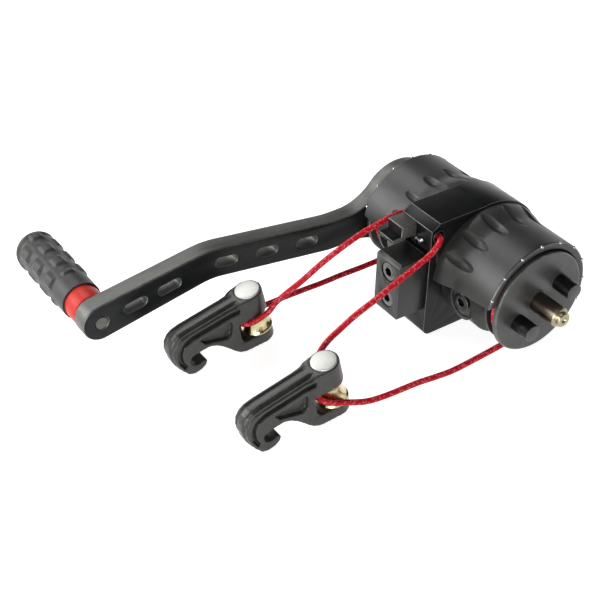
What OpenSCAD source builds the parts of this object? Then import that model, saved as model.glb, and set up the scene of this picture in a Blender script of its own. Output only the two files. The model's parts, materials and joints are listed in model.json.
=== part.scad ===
// Hand crank cocking winch: two cord reels on one cross shaft, a removable
// crank, a slotted mount and two string hooks on a doubled cord.
// Modules are drawn about the shaft axis (X), with the cord side at -Y;
// place() then moves everything to the centre of the mounting slot's floor.

/* [Centre body] */
// Width of the centre body along the shaft
body_w = 20.6; // [16:0.1:30]
// Outer radius of the round back of the centre body
band_r = 32; // [30:0.1:40]
// Shaft axis to the flat front face
plate_front = 33.6; // [33:0.1:45]
// Shaft axis to the flat foot
foot_drop = 29; // [27:0.1:40]
// Shaft axis to the flat top of the nose
nose_top = 31.7; // [29:0.1:40]
// Run of the nose bevel along the top
nose_bevel_y = 4.5; // [1:0.1:8]
// Drop of the nose bevel down the front
nose_bevel_z = 3; // [1:0.1:8]
// Radius of the front corner of the foot
foot_round = 4; // [0.5:0.1:8]
// Height of the spigots that carry the covers
spigot_h = 3; // [1.5:0.1:6]
// Room round the shaft in the centre body
passage_c = 1.75; // [0.75:0.05:6]

/* [Cord] */
// Diameter of the braided cord
cord_d = 2.7; // [2:0.1:4]
// Cord hole behind the front face
hole_back = 4; // [3.6:0.1:10]
// Cord hole below the top of the nose
hole_drop = 6.1; // [5.2:0.1:8]
// Play of the cord in its cross hole
cord_play = 1; // [0.2:0.05:1.2]
// Wall of the fairlead bushes
fairlead_wall = 0.7; // [0.5:0.05:0.9]
// Depth of a fairlead bush in the nose
fairlead_len = 4; // [2:0.1:8]
// Width of the fairlead's rim
fairlead_rim = 0.4; // [0.2:0.05:0.5]
// Thickness of the fairlead's rim
fairlead_rim_t = 0.9; // [0.5:0.05:2]

/* [Mounting slot] */
// Width of the lower mount block
block_w = 16.4; // [12:0.1:20]
// Reach of the block in front of the centre body
block_len = 15.1; // [12:0.1:24]
// Height of the block's top over the shaft axis
block_top = 14.8; // [12:0.1:17]
// Height of the block
block_h = 29.2; // [24:0.1:36]
// Chamfer along the block's top edges
block_chamfer = 1.4; // [0.3:0.1:3]
// Clear height of the slot
slot_h = 7; // [5:0.1:8]
// Depth of the slot's pocket in the centre body
slot_pocket = 2.6; // [1:0.1:5]
// Width of the slot's pocket
slot_w = 15.6; // [10:0.1:18]
// Width of the upper jaw
jaw_w = 10.3; // [6:0.1:14]
// Reach of the jaw's lip
jaw_lip_len = 13.6; // [10:0.1:16]
// Thickness of the jaw's lip
jaw_lip_t = 1.6; // [1:0.1:3]
// Reach of the jaw's thick part
jaw_len = 8.4; // [5:0.1:10]
// Height of the jaw's thick part
jaw_h = 5; // [2:0.1:7]
// Head radius of the block screws
screw_head_r = 4.25; // [3:0.05:5]
// Head height of the block screws
screw_head_h = 5; // [3:0.1:7]
// Thread radius of the block screws
screw_r = 2.5; // [1.5:0.05:2.9]
// Thread length in the centre body
screw_grip = 7; // [4:0.1:10]
// Socket size across flats
screw_hex = 4; // [2:0.1:5]
// Depth of the sockets
socket_depth = 2.8; // [1.5:0.1:2.9]
// Spacing of the two block screws
screw_gap = 14.2; // [11:0.1:18]
// Play round screw heads
screw_play = 0.4; // [0.1:0.05:1]
// Radius of the slot's set screw
set_r = 2; // [1:0.1:3]
// How far the set screw stands in the slot
set_out = 2.2; // [1:0.1:5]
// Depth of the set screw in the body
set_in = 6; // [3:0.1:9]

/* [Covers] */
// How far the centre body stands out over the covers
band_step = 1; // [0.3:0.1:3]
// How much a cover narrows towards its outer end
flare_drop = 2; // [0.5:0.1:3]
// Length of the narrowing part
flare_len = 12.7; // [8:0.1:18]
// Wall of a cover
cover_t = 2; // [1.2:0.1:3]
// Width of the inward lip at the outer end
lip_w = 3.4; // [2.5:0.1:4.4]
// Thickness of the inward lip
lip_t = 1.6; // [1:0.1:3]
// Bevel of a cover's outer edge
edge_bevel = 0.7; // [0.2:0.1:1.2]
// Number of flutes round a cover
flutes = 16; // [8:1:20]
// Start of the flutes from the centre body
flute_inset = 1.7; // [0.8:0.1:6]
// Length of a flute
flute_len = 17; // [8:0.5:22]
// Depth of a flute
flute_depth = 1; // [0.4:0.05:1.4]
// Radius of a flute's trough
flute_r = 3; // [1.5:0.1:5]
// Angle of the first flute
flute_turn = 13; // [0:0.5:30]
// Height of the window's upper edge at the body
window_top = 2.4; // [0:0.1:8]
// Rise of that edge towards the outer end
window_rise = 3.6; // [0:0.1:6]
// How far the back of a cover hangs below the shaft axis
skirt_drop = 20; // [6:0.1:26]
// Radius of a rim stud
stud_r = 0.8; // [0.4:0.05:1]
// Height of a rim stud's head
stud_h = 0.6; // [0.3:0.05:1.2]
// Radius of a rim stud's shank
stud_shank = 0.5; // [0.2:0.05:0.7]

/* [Housings] */
// Length of the wide part of a housing
housing_wide = 19.9; // [18:0.1:21]
// Length of a bearing housing
housing_len = 26.6; // [25:0.1:32]
// Gap between a housing's end and its reel
reel_gap = 1.1; // [0.4:0.1:4]
// Gap between a housing and the wall of its cover
housing_gap = 1.8; // [0.5:0.1:3]
// Room round the ratchet teeth
tooth_room = 1.2; // [0.6:0.05:2]
// Wall of a housing's nose
nose_wall = 2.8; // [2:0.1:3.5]
// Rim of a housing outside its screws
housing_edge = 1.8; // [0.8:0.1:2.4]
// Thickness of the outer wall with the bush
housing_wall = 4.5; // [3:0.1:6]
// Wall of a shaft bush
bush_wall = 2.85; // [1.5:0.05:4]
// Width of a bush's rim
bush_rim = 2; // [1:0.1:3]
// Thickness of a bush's rim
bush_rim_t = 1; // [0.5:0.05:1.5]
// Radius of the housing screws
tie_r = 1.6; // [1:0.05:2]
// Head radius of the housing screws
tie_head_r = 2.6; // [2:0.05:3]
// Head height of the housing screws
tie_head_h = 2; // [1:0.1:3]
// Thread length of the housing screws in the body
tie_grip = 6; // [4:0.1:8]
// Angle of the first housing screw
tie_turn = 30; // [20:1:40]
// Housing screws on each side
ties = 3; // [2:1:6]

/* [Shaft and drive] */
// Shaft radius
shaft_r = 4.75; // [3.5:0.05:5.5]
// Shaft length outside the retaining ring
shaft_tail = 4.3; // [3:0.1:20]
// Length of the turned-down tips
tip_len = 2.6; // [1:0.1:4]
// How much thinner the tips are
tip_step = 1.25; // [0.5:0.05:2.5]
// Width of the relief groove behind each drive plate's face
relief_w = 0.8; // [0.4:0.05:2]
// Depth of the relief groove
relief_d = 0.3; // [0.1:0.05:1]
// Gap between a drive plate and the cover's lip
plate_gap = 0.6; // [0.4:0.05:2]
// How far a drive plate stands out of its cover
plate_proud = 1.8; // [0.5:0.1:6]
// Drive plate thickness
plate_t = 2.5; // [1.5:0.1:4]
// Chamfer on the drive plates
plate_chamfer = 0.5; // [0.2:0.05:1]
// Drive peg radius
peg_r = 4; // [2.5:0.05:4.5]
// Shoulder of a peg round its shank in the drive plate
peg_shoulder = 0.8; // [0.3:0.05:1.2]
// How much thinner the pegs under the crank are
peg_slip = 0.05; // [0.02:0.01:0.2]
// How far a peg stands out
peg_out = 10; // [6:0.1:14]
// Circle radius of the pegs
peg_pitch_r = 13; // [11.5:0.1:17]
// Angle of the pegs round the shaft
peg_turn = 31; // [0:1:90]
// Play of the cord between reel flange and drive plate
groove_play = 2.2; // [0.6:0.1:3]
// Reel flange inside the drive plate's edge
flange_inset = 1.4; // [0.6:0.1:3]
// Reel flange thickness
flange_t = 1.4; // [0.8:0.1:1.8]
// Winding inside the reel flange's edge
wind_inset = 1.85; // [0.4:0.05:2.2]
// Turns that show on a reel
wind_turns = 2; // [1:1:2]
// Gap from turn to turn
wind_gap = 0.5; // [0.45:0.05:0.7]
// Gap between the inner turn and the reel hub
hub_gap = 0.2; // [0.1:0.05:0.5]

/* [Ratchet] */
// Teeth on the ratchet wheel
teeth = 10; // [8:1:12]
// Height of the teeth
tooth_h = 4; // [3:0.1:5]
// Width of the wheel
ratchet_w = 8; // [5:0.1:9]
// Middle of the wheel from the centre body
ratchet_in = 15.4; // [14:0.1:16]
// Angle from the tongue to the tooth in front of it
tooth_lead = 9.2; // [8:0.1:11]
// Plunger radius
plunger_r = 3.4; // [2.8:0.05:3.6]
// Thickness of the plunger's tongue
tongue_t = 2.4; // [1.4:0.1:2.4]
// Plunger height below the shaft axis
plunger_drop = 2.6; // [2.2:0.1:2.8]
// Gap from tongue to teeth when drawn back
tongue_gap = 0.6; // [0.4:0.05:1]
// Stroke of the plunger
plunger_stroke = 2.7; // [2:0.05:2.7]
// Radius of the plunger's boss
boss_r = 8.6; // [6.5:0.1:9]
// Length of the plunger's boss outside the chamber
boss_len = 11.8; // [11.2:0.1:12.2]
// Width of the raised rim round the boss
boss_rim = 1.6; // [0.6:0.1:2]
// Depth of the boss inside its rim
boss_step = 0.8; // [0.3:0.05:1.2]
// Width of the plug's flange
plug_flange = 1.2; // [0.5:0.05:1.8]
// Length of the plug behind the boss's face
plug_len = 2.7; // [2:0.1:3]
// Length of the plunger's tongue
tongue_l = 2; // [1.6:0.1:2.4]
// Width of the plunger's tongue
tongue_w = 5; // [3:0.1:5.4]
// Length of the plunger outside the chamber
plunger_tail = 4; // [3:0.1:4.4]
// Wire of the plunger spring
spring_wire = 0.6; // [0.4:0.05:0.6]
// Curls of the plunger spring
spring_curls = 4; // [2:1:4]
// Play of the spring in its bore
spring_play = 0.4; // [0.2:0.05:0.8]

/* [Crank] */
// Gap between drive plate and crank
crank_gap = 1.4; // [0.4:0.1:3]
// Thickness of the crank arm
arm_t = 9; // [5:0.1:9]
// Width of the crank arm
arm_w = 15.4; // [12:0.1:18]
// Radius of the crank's round hub
crank_hub_r = 21.8; // [19:0.1:27]
// Radius of the blend from arm to hub
hub_blend_r = 25; // [10:0.5:30]
// Radius of the arm's rounded end
arm_end_r = 9.1; // [8.5:0.1:11]
// Reach of the arm's elbow
elbow_reach = 111; // [95:0.5:120]
// Rise of the arm's elbow
elbow_rise = 7.2; // [0:0.1:16]
// Radius of the bend at the elbow
elbow_r = 40; // [20:1:60]
// Where the arm leaves the level
knee_reach = 45; // [40:0.5:52]
// Drop of the arm's level part
knee_drop = 2.2; // [0:0.1:4]
// Crank radius to the grip
crank_reach = 166.8; // [150:0.5:220]
// Drop of the grip below the shaft axis
grip_drop = 2.2; // [0:0.1:6]
// Length of the arm's slots
arm_slot_l = 11.6; // [6:0.1:12]
// Width of the arm's slots
arm_slot_w = 4.6; // [2:0.1:7]
// Thickness of the retaining ring
clip_t = 1.2; // [0.8:0.05:1.6]
// Width of the retaining ring outside the shaft
clip_w = 3.25; // [1.5:0.05:5]
// Gap of the retaining ring
clip_mouth = 4; // [2:0.1:7]
// Depth of the ring's groove in the shaft
clip_groove = 0.8; // [0.4:0.05:1]

/* [Grip] */
// Grip radius
grip_r = 10.2; // [9.6:0.1:14]
// Grip length without the collar
grip_len = 46.5; // [40:0.5:90]
// Collar radius
collar_r = 8.5; // [7.5:0.1:12]
// Collar length
collar_len = 10; // [5:0.1:14]
// Length of the rounded end cap
grip_cap_len = 5.5; // [3:0.1:7]
// Axle radius
axle_r = 2.9; // [2:0.05:3.5]
// Radius of the axle's end flange
axle_flange_r = 5.2; // [4:0.1:6]
// Thickness of the axle's end flange
axle_flange_t = 2; // [1:0.1:3]
// Grip panels round the grip
panels = 6; // [4:1:8]
// Depth of the furrows between panels
furrow = 0.9; // [0.3:0.05:1.4]
// Width of the furrows
furrow_w = 1.8; // [0.8:0.1:3]
// Rows of panels along the grip
panel_rows = 4; // [2:1:6]
// Plain neck of the grip beside the collar
grip_neck = 10; // [4:0.5:14]
// How much slimmer the neck is
neck_slim = 0.9; // [0.2:0.1:1.2]
// Rounding of the end cap
cap_round = 3; // [1:0.1:3]

/* [Hooks] */
// Hook centre from the middle
hook_x = 29.5; // [28:0.1:32]
// Roller centre in front of the shaft axis
hook_y = 100.8; // [95:0.1:110]
// Forward tilt of a hook as it lies
hook_tilt = 13; // [10:0.5:15]
// Width of a hook's arm
hook_w = 10; // [7:0.1:11]
// Reach of a hook in front of its pin
hook_len = 44.4; // [42:0.1:60]
// Wall of a hook's lugs round the pin's head
lug_wall = 0.8; // [0.4:0.1:1.6]
// Foot of the lower lug below the roller's middle
lobe_drop = 11.3; // [10:0.1:13]
// Top of the upper lug over the roller's middle
lug_top = 17; // [13:0.1:18]
// Clear height of the roller's slot
roller_slot = 11.2; // [10.2:0.1:12]
// Room in front of the cord in the roller's slot
slot_room = 1.9; // [0.3:0.1:3]
// Corner radius of the roller's slot
slot_corner = 2.5; // [1:0.1:4]
// How much wider the lower lug is
lobe_extra = 0.2; // [0:0.1:0.8]
// Roller's lower flange radius
roller_r = 7.2; // [6.5:0.1:7.6]
// Roller's upper lip radius
roller_lip_r = 6; // [5.6:0.1:6.2]
// Roller waist radius
waist_r = 5.4; // [4:0.1:5.5]
// Roller flange thickness
roller_flange = 1; // [0.6:0.05:1.2]
// Slope of the roller's flange
roller_slope = 0.8; // [0.4:0.05:1.2]
// Pin radius
pin_r = 3; // [2:0.05:3.5]
// Pin head radius
pin_head_r = 5.8; // [5:0.1:6]
// Pin head height
pin_head_h = 1.2; // [0.6:0.05:2]
// Depth of the flank pockets
pocket_depth = 1; // [0.3:0.05:1.8]

/* [Clearances] */
// Radial play of turning fits
run_c = 0.06; // [0.02:0.01:0.1]
// Play of seats that stay put
fit_c = 0.02; // [0.01:0.01:0.05]
// Gap between faces that pass each other
side_c = 0.3; // [0.2:0.05:0.6]

/* [Hidden] */
$fn = 72;
e = 0.01;
weld = 0.2;
far = 80;

half_w = body_w / 2;
seat_y = -(plate_front + block_len / 2);
seat_z = block_top;
block_bottom = block_top - block_h;
block_front = -(plate_front + block_len);
screw_z = block_top - block_h / 2;
set_z = block_top + slot_h / 2;
set_y = slot_pocket - plate_front;
jaw_bottom = block_top + slot_h;
hole_y = hole_back - plate_front;
hole_z = nose_top - hole_drop;
hole_r = cord_d / 2 + cord_play;
bush_out = hole_r + fairlead_wall;
passage_r = shaft_r + passage_c;
cover_flare_r = band_r - band_step;
cover_r = cover_flare_r - flare_drop;
cover_start = half_w + fit_c;
flare_start = half_w + spigot_h;
flare_end = half_w + flare_len;
spigot_r = cover_flare_r - cover_t - fit_c;
flute_pitch = 360 / flutes;
flute_bow = (flute_len * flute_len / 4 + flute_depth * flute_depth) / (2 * flute_depth);
flute_mid = cover_start + flute_inset + flute_len / 2;
flute_skin = cover_r + flare_drop * max(flare_end - flute_mid, 0) / (flare_end - flare_start);
housing_r = cover_r - cover_t - housing_gap;
tie_pitch_r = housing_r - housing_edge - side_c - tie_head_r;
nose_r = tie_pitch_r - tie_head_r - 3 * side_c;
chamber_r = nose_r - nose_wall;
tooth_r = chamber_r - tooth_room;
root_r = tooth_r - tooth_h;
housing_step = half_w + housing_wide;
housing_end = half_w + housing_len;
groove_w = cord_d + groove_play;
reel_in = housing_end + reel_gap;
reel_out = reel_in + flange_t + groove_w;
groove_mid = reel_out - groove_w / 2;
plate_face = reel_out + plate_t;
cover_end = plate_face - plate_proud;
cover_len = cover_end - half_w;
window_slope = window_rise / cover_len;
bush_r = shaft_r + bush_wall;
bush_seat = housing_end - housing_wall;
plate_r = cover_r - lip_w - plate_gap;
flange_r = plate_r - flange_inset;
wind_r = flange_r - wind_inset - cord_d / 2;
wind_step = cord_d + wind_gap;
hub_r = wind_r - wind_turns * wind_step - cord_d / 2 - hub_gap;
ratchet_x = half_w + ratchet_in;
tooth_step = 360 / teeth;
tooth_turn = 180 + atan(plunger_drop / (tooth_r + tongue_gap)) + tooth_lead;
tongue_y = -(tooth_r + tongue_gap);
plunger_back = -(chamber_r + plunger_tail);
boss_front = chamber_r + boss_len;
plug_in = boss_front - plug_len;
plug_r = plunger_r + run_c;
crank_face = plate_face + crank_gap;
clip_x = crank_face + arm_t + side_c;
clip_r = shaft_r + clip_w;
clip_root = shaft_r - clip_groove;
shaft_half = clip_x + clip_t + shaft_tail;
tip_r = shaft_r - tip_step;
peg_shank = peg_r - peg_shoulder;
grip_y = -crank_reach;
grip_z = -grip_drop;
collar_x = crank_face + arm_t + side_c;
sleeve_x = collar_x + collar_len + fit_c;
sleeve_end = sleeve_x + grip_len;
lug_r = pin_head_r + lug_wall;
slot_mid = -1.4;
hook_top = slot_mid + lug_top;
head_seat = hook_top - pin_head_h / 2;
lobe_low = slot_mid - lobe_drop;
claw_low = [hook_len - 7.8, -7.6];
hook_z = foot_drop - claw_low[0] * sin(hook_tilt) + claw_low[1] * cos(hook_tilt);
bend_r = waist_r + cord_d / 2 + 2 * side_c;
slot_reach = bend_r + cord_d / 2 + slot_room;
bend_w = [slot_mid + roller_slot / 2 - cord_d / 2 - side_c,
    slot_mid - roller_slot / 2 + cord_d / 2 + roller_flange + 3 * side_c];
bend_from = -60;
bend_to = 80;

// Basic forms along the shaft and across it
module along_x(x0, x1, r) { translate([x0, 0, 0]) rotate([0, 90, 0]) cylinder(r = r, h = x1 - x0); }
module along_y(x, z, y0, y1, r) { translate([x, y1, z]) rotate([90, 0, 0]) cylinder(r = r, h = y1 - y0); }
module side_slab(x0, x1) { translate([x0, 0, 0]) rotate([90, 0, 90]) linear_extrude(x1 - x0) children(); }
module round_x(points) { rotate([0, 90, 0]) rotate_extrude() polygon(points); }
module far_side() { mirror([1, 0, 0]) children(); }
module both_sides() { children(); far_side() children(); }
module place() { translate([0, -seat_y, -seat_z]) children(); }

// Swept tube: one closed polyhedron through a list of points
function unit(v) = v / norm(v);
function tangent(p, i) = unit(i == 0 ? p[1] - p[0] : i == len(p) - 1 ? p[i] - p[i - 1]
    : unit(p[i + 1] - p[i]) + unit(p[i] - p[i - 1]));
function carry(n, t) = unit(n - (n * t) * t);
function frames(p, i, n) = i == len(p) ? [] :
    let (m = carry(n, tangent(p, i))) concat([m], frames(p, i + 1, m));
function first_normal(t) = carry(abs(t[2]) < 0.8 ? [0, 0, 1] : [0, 1, 0], t);
module tube(p, r, sides) {
    f = frames(p, 0, first_normal(tangent(p, 0)));
    n = len(p);
    rings = [for (i = [0:n - 1]) let (t = tangent(p, i), u = f[i], v = cross(t, u))
        for (k = [0:sides - 1]) p[i] + r * (cos(360 * k / sides) * u + sin(360 * k / sides) * v)];
    walls = [for (i = [0:n - 2], k = [0:sides - 1]) let (a = i * sides + k, b = i * sides + (k + 1) % sides)
        each [[a, a + sides, b], [b, a + sides, b + sides]]];
    caps = [for (k = [1:sides - 2]) each [[0, k, k + 1],
        [(n - 1) * sides, (n - 1) * sides + k + 1, (n - 1) * sides + k]]];
    polyhedron(points = rings, faces = concat(walls, caps));
}
// Cord routes about the shaft axis, from the winch to the hooks
near_upper = [[half_w + fairlead_rim_t, hole_y, hole_z], [13.2, -31, 25.4], [14, -33.6, 23.2],
    [14.2, -37, 20.6], [14.5, -43, 18.2], [15, -54, 14.4], [15.4, -66, 9.8], [15.4, -78, 5.2],
    [15.5, -86.4, 1], [15.8, -92, -1.8], [16.6, -96.4, -4.8], [18.2, -99.6, -7.8]];
near_lower = [[groove_mid, -cord_d, -wind_r], [groove_mid, -2 * cord_d, -wind_r], [41.8, -17.6, -21.8],
    [41.8, -30, -22.8], [41.8, -43, -23.4], [41.7, -52, -22.6], [41.5, -62, -21.4], [41.2, -71, -21.2],
    [40.6, -80, -21.2], [39.6, -88.6, -20.6]];
far_upper = [[-half_w - fairlead_rim_t, hole_y, hole_z], [-13.2, -31, 25.5], [-13.9, -34.8, 25.2],
    [-14, -40, 24.6], [-14, -45, 23.6], [-14.4, -51, 22.2], [-15.3, -62, 17.8], [-16.6, -72.6, 12],
    [-18, -83.6, 4.7], [-19.2, -91, 0.2], [-20, -95.6, -3.2], [-20.4, -98.8, -6.8]];
far_lower = [[-groove_mid, -cord_d, -wind_r], [-groove_mid, -2 * cord_d, -wind_r], [-41.8, -17, -21.6],
    [-41.8, -29, -22], [-41.6, -42.6, -21.6], [-41.2, -55, -21.4], [-40.4, -67, -20.4], [-39.4, -79, -19.4],
    [-38.6, -88, -18.8]];

// Points of a hook's cord bend, in the hook's own frame and about the shaft
function bend_point(a) = [bend_r * sin(a), -bend_r * cos(a),
    bend_w[0] + (bend_w[1] - bend_w[0]) * (a - bend_from) / (bend_to - bend_from)];
function lie(v) = [v[0], v[1] * cos(hook_tilt) - v[2] * sin(hook_tilt),
    v[1] * sin(hook_tilt) + v[2] * cos(hook_tilt)];
function near_bend(a) = lie(bend_point(a)) + [hook_x, -hook_y, -hook_z];
function far_bend(a) = let (v = near_bend(a)) [-v[0], v[1], v[2]];
bend_steps = 8;
bend_angles = [for (i = [0:bend_steps]) bend_from + (bend_to - bend_from) * i / bend_steps];
near_loop = [for (a = bend_angles) near_bend(a)];
far_loop = [for (a = bend_angles) far_bend(a)];
// Last two points of a strand, square to the loop's end that it meets
function run_in(p) = [p[0] + cord_d * unit(p[0] - p[1]), p[0]];
function run_out(p) = let (q = p[bend_steps]) [q + cord_d * unit(q - p[bend_steps - 1]), q];

// Winding: a flat spiral on the reel, then a straight end towards the hook
wind_rings = 24;
wind_path = concat([[groove_mid, -cord_d, -wind_r]],
    [for (i = [0:wind_turns * wind_rings]) let (a = 270 + 360 * i / wind_rings,
        r = wind_r - wind_step * i / wind_rings) [groove_mid, r * cos(a), r * sin(a)]]);
function least_gap(p, lag) = min([for (i = [0:len(p) - 1 - lag], j = [i + lag:len(p) - 1])
    norm(p[i] - p[j])]);
echo(winding_gap = wind_turns < 2 ? wind_step - cord_d : least_gap(wind_path, 18) - cord_d);

// Plunger spring between the plug and the plunger
curl_rings = 8;
spring_rings = spring_curls * curl_rings;
spring_r = plunger_r - spring_wire / 2 - spring_play;
spring_y0 = -plug_in + spring_wire / 2 + run_c;
spring_y1 = plunger_back - spring_wire / 2 - run_c;
spring_path = [for (i = [0:spring_rings]) let (a = 360 * i / curl_rings) [ratchet_x + spring_r * cos(a),
    spring_y0 + (spring_y1 - spring_y0) * i / spring_rings, -plunger_drop + spring_r * sin(a)]];
echo(spring_gap = least_gap(spring_path, 6) - spring_wire);

module centre_body() color("#26272a") place() difference() {
    union() {
        intersection() {
            union() {
                along_x(-half_w, half_w, band_r);
                translate([-half_w, -plate_front, -foot_drop])
                    cube([body_w, plate_front, foot_drop + nose_top]);
            }
            translate([-half_w, -plate_front, -foot_drop])
                cube([body_w, plate_front + band_r + e, foot_drop + band_r + e]);
        }
        both_sides() difference() {
            along_x(0, half_w + spigot_h, spigot_r);
            window(half_w, side_c);
        }
    }
    // Nose bevel and foot corner
    side_slab(-half_w - 1, half_w + 1) polygon([[-plate_front + nose_bevel_y, nose_top],
        [-plate_front - e, nose_top - nose_bevel_z], [-plate_front - e, band_r + 1],
        [-plate_front + nose_bevel_y, band_r + 1]]);
    difference() {
        translate([-half_w - 1, -plate_front - 1, -foot_drop - 1])
            cube([body_w + 2, foot_round + 1, foot_round + 1]);
        translate([0, -plate_front + foot_round, -foot_drop + foot_round])
            along_x(-half_w - 2, half_w + 2, foot_round);
    }
    // Shaft passage and housing seats
    along_x(-half_w - spigot_h - 1, half_w + spigot_h + 1, passage_r);
    both_sides() along_x(half_w, half_w + spigot_h + 1, housing_r + fit_c);
    // Cord passage with its bush seats
    translate([0, hole_y, hole_z]) {
        along_x(-half_w - 1, half_w + 1, hole_r);
        both_sides() along_x(half_w - fairlead_len, half_w + spigot_h + 1, bush_out + fit_c);
        both_sides() along_x(half_w, half_w + spigot_h + 1, bush_out + fairlead_rim + side_c);
    }
    // Slot pocket, set screw and block screws
    translate([-slot_w / 2, -plate_front - 1, block_top]) cube([slot_w, slot_pocket + 1, slot_h]);
    along_y(0, set_z, -plate_front, set_y + set_in, set_r + fit_c);
    for (z = screw_places)
        along_y(0, z, -plate_front - 1, -plate_front + screw_grip + side_c, screw_r + fit_c);
    both_sides() ties_at(half_w - tie_grip - side_c, half_w + 1, tie_r + fit_c);
}
screw_places = [screw_z - screw_gap / 2, screw_z + screw_gap / 2];

module ties_at(x0, x1, r) for (k = [0:ties - 1]) rotate([tie_turn + 360 * k / ties, 0, 0])
    translate([0, tie_pitch_r, 0]) along_x(x0, x1, r);

module fairleads() color("#3a3b3e") place() both_sides() translate([0, hole_y, hole_z])
    difference() {
        union() {
            along_x(half_w - fairlead_len + fit_c, half_w + e, bush_out);
            along_x(half_w, half_w + fairlead_rim_t, bush_out + fairlead_rim);
        }
        along_x(half_w - fairlead_len - 1, half_w + fairlead_rim_t + 1, hole_r);
    }

module upper_jaw() color("#2c2d30") place() {
    translate([-half_w, -plate_front - jaw_lip_len, jaw_bottom]) cube([jaw_w, jaw_lip_len, jaw_lip_t]);
    translate([-half_w, -plate_front - jaw_len, jaw_bottom]) cube([jaw_w, jaw_len, jaw_lip_t + jaw_h]);
}

module mount_block() color("#2f3033") place() difference() {
    translate([-block_w / 2, block_front, block_bottom]) cube([block_w, block_len, block_h]);
    translate([0, block_front, block_top]) rotate([45, 0, 0])
        cube([block_w + 2, block_chamfer * sqrt(2), block_chamfer * sqrt(2)], center = true);
    for (s = [-1, 1]) translate([s * block_w / 2, seat_y, block_top]) rotate([0, 45, 0])
        cube([block_chamfer / sqrt(2), block_len + 2, block_chamfer / sqrt(2)], center = true);
    for (z = screw_places) {
        along_y(0, z, block_front - 1, -plate_front + 1, screw_r + screw_play / 2);
        along_y(0, z, block_front - 1, block_front + screw_head_h + screw_play, screw_head_r + screw_play);
    }
}

module socket(h) { rotate([90, 0, 0]) cylinder(r = screw_hex / sqrt(3), h = h, $fn = 6); }
module block_screws() color("#c9cbce") place() for (z = screw_places) difference() {
    union() {
        along_y(0, z, block_front + screw_play, block_front + screw_play + screw_head_h, screw_head_r);
        along_y(0, z, block_front + screw_play + screw_head_h - e, -plate_front + screw_grip, screw_r);
    }
    translate([0, block_front + screw_play + socket_depth, z]) socket(screw_head_h);
}

module slot_screw() color("#b9bbbe") place() difference() {
    along_y(0, set_z, set_y - set_out, set_y + set_in - side_c, set_r);
    along_y(0, set_z, set_y - set_out - 1, set_y - set_out + set_r / 2, set_r / 2, $fn = 6);
}

// Open quarter below the front edge and the open underside
module window(x0, play) {
    edge = window_top + play;
    rotate([90, 0, 0]) linear_extrude(far) polygon([[x0, -far], [cover_end + 1, -far],
        [cover_end + 1, edge + window_slope * (cover_end + 1 - half_w)],
        [x0, edge + window_slope * (x0 - half_w)]]);
    translate([x0, -far, -far - skirt_drop + play]) cube([far, 2 * far, far]);
}
module cover() difference() {
    round_x([[cover_flare_r - cover_t, cover_start], [cover_flare_r - cover_t, flare_start],
        [cover_r - cover_t, flare_end], [cover_r - cover_t, cover_end - lip_t],
        [cover_r - lip_w, cover_end - lip_t], [cover_r - lip_w, cover_end], [cover_r - edge_bevel, cover_end],
        [cover_r, cover_end - edge_bevel], [cover_r, flare_end], [cover_flare_r, flare_start],
        [cover_flare_r, cover_start]]);
    window(half_w - 1, 0);
    // Flutes
    for (k = [0:flutes - 1]) rotate([flute_turn + flute_pitch * k, 0, 0])
        translate([flute_mid, flute_skin - flute_depth + flute_r + flute_bow, 0])
            rotate_extrude() translate([flute_bow, 0]) circle(r = flute_r, $fn = 36);
    // Stud holes
    studs_at() along_x(cover_end - lip_t - 1, cover_end + 1, stud_shank + fit_c);
}
module studs_at() for (k = [0:flutes - 1]) let (a = flute_turn + flute_pitch * (k + 0.5)) if (stud_kept(a))
    rotate([a, 0, 0]) translate([0, cover_r - edge_bevel - stud_r, 0]) children();
function stud_kept(a) = sin(a) * cover_r > 2 * stud_r + (cos(a) < 0 ? window_top + window_rise : -skirt_drop);
module near_cover() color("#3b3c40") place() cover();
module far_cover() color("#3b3c40") place() far_side() cover();

module rim_studs() studs_at() {
    along_x(cover_end, cover_end + stud_h, stud_r);
    along_x(cover_end - lip_t + side_c, cover_end + e, stud_shank);
}
module near_rim_studs() color("#d5d6d8") place() rim_studs();
module far_rim_studs() color("#d5d6d8") place() far_side() rim_studs();

module housing() difference() {
    union() {
        along_x(half_w, housing_step, housing_r);
        along_x(half_w, housing_end, nose_r);
    }
    along_x(half_w - 1, bush_seat, chamber_r);
    along_x(half_w, housing_end + 1, bush_r + fit_c);
    ties_at(half_w - 1, housing_end + 1, tie_r + side_c);
    ties_at(housing_step - tie_head_h - side_c, housing_end + 1, tie_head_r + side_c);
}
module near_housing() color("#4a4b4f") place() difference() {
    union() {
        housing();
        difference() {
            along_y(ratchet_x, -plunger_drop, -boss_front, -chamber_r, boss_r);
            along_x(half_w - 1, housing_end + 1, chamber_r + 1);
            translate([housing_step, -far, -far]) cube(2 * far);
        }
    }
    along_y(ratchet_x, -plunger_drop, -boss_front - 1, 0, plug_r);
    along_y(ratchet_x, -plunger_drop, -boss_front - 1, -boss_front + boss_step, boss_r - boss_rim);
}
module far_housing() color("#4a4b4f") place() far_side() housing();

module housing_screws() color("#8d8f93") place() both_sides() {
    ties_at(half_w - tie_grip, housing_step - tie_head_h, tie_r);
    ties_at(housing_step - tie_head_h, housing_step - side_c, tie_head_r);
}

module shaft_bushes() color("#b08d4f") place() both_sides() difference() {
    union() {
        along_x(bush_seat - e, housing_end + e, bush_r);
        along_x(bush_seat - bush_rim_t, bush_seat, bush_r + bush_rim);
    }
    along_x(0, far, shaft_r + run_c);
}

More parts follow.
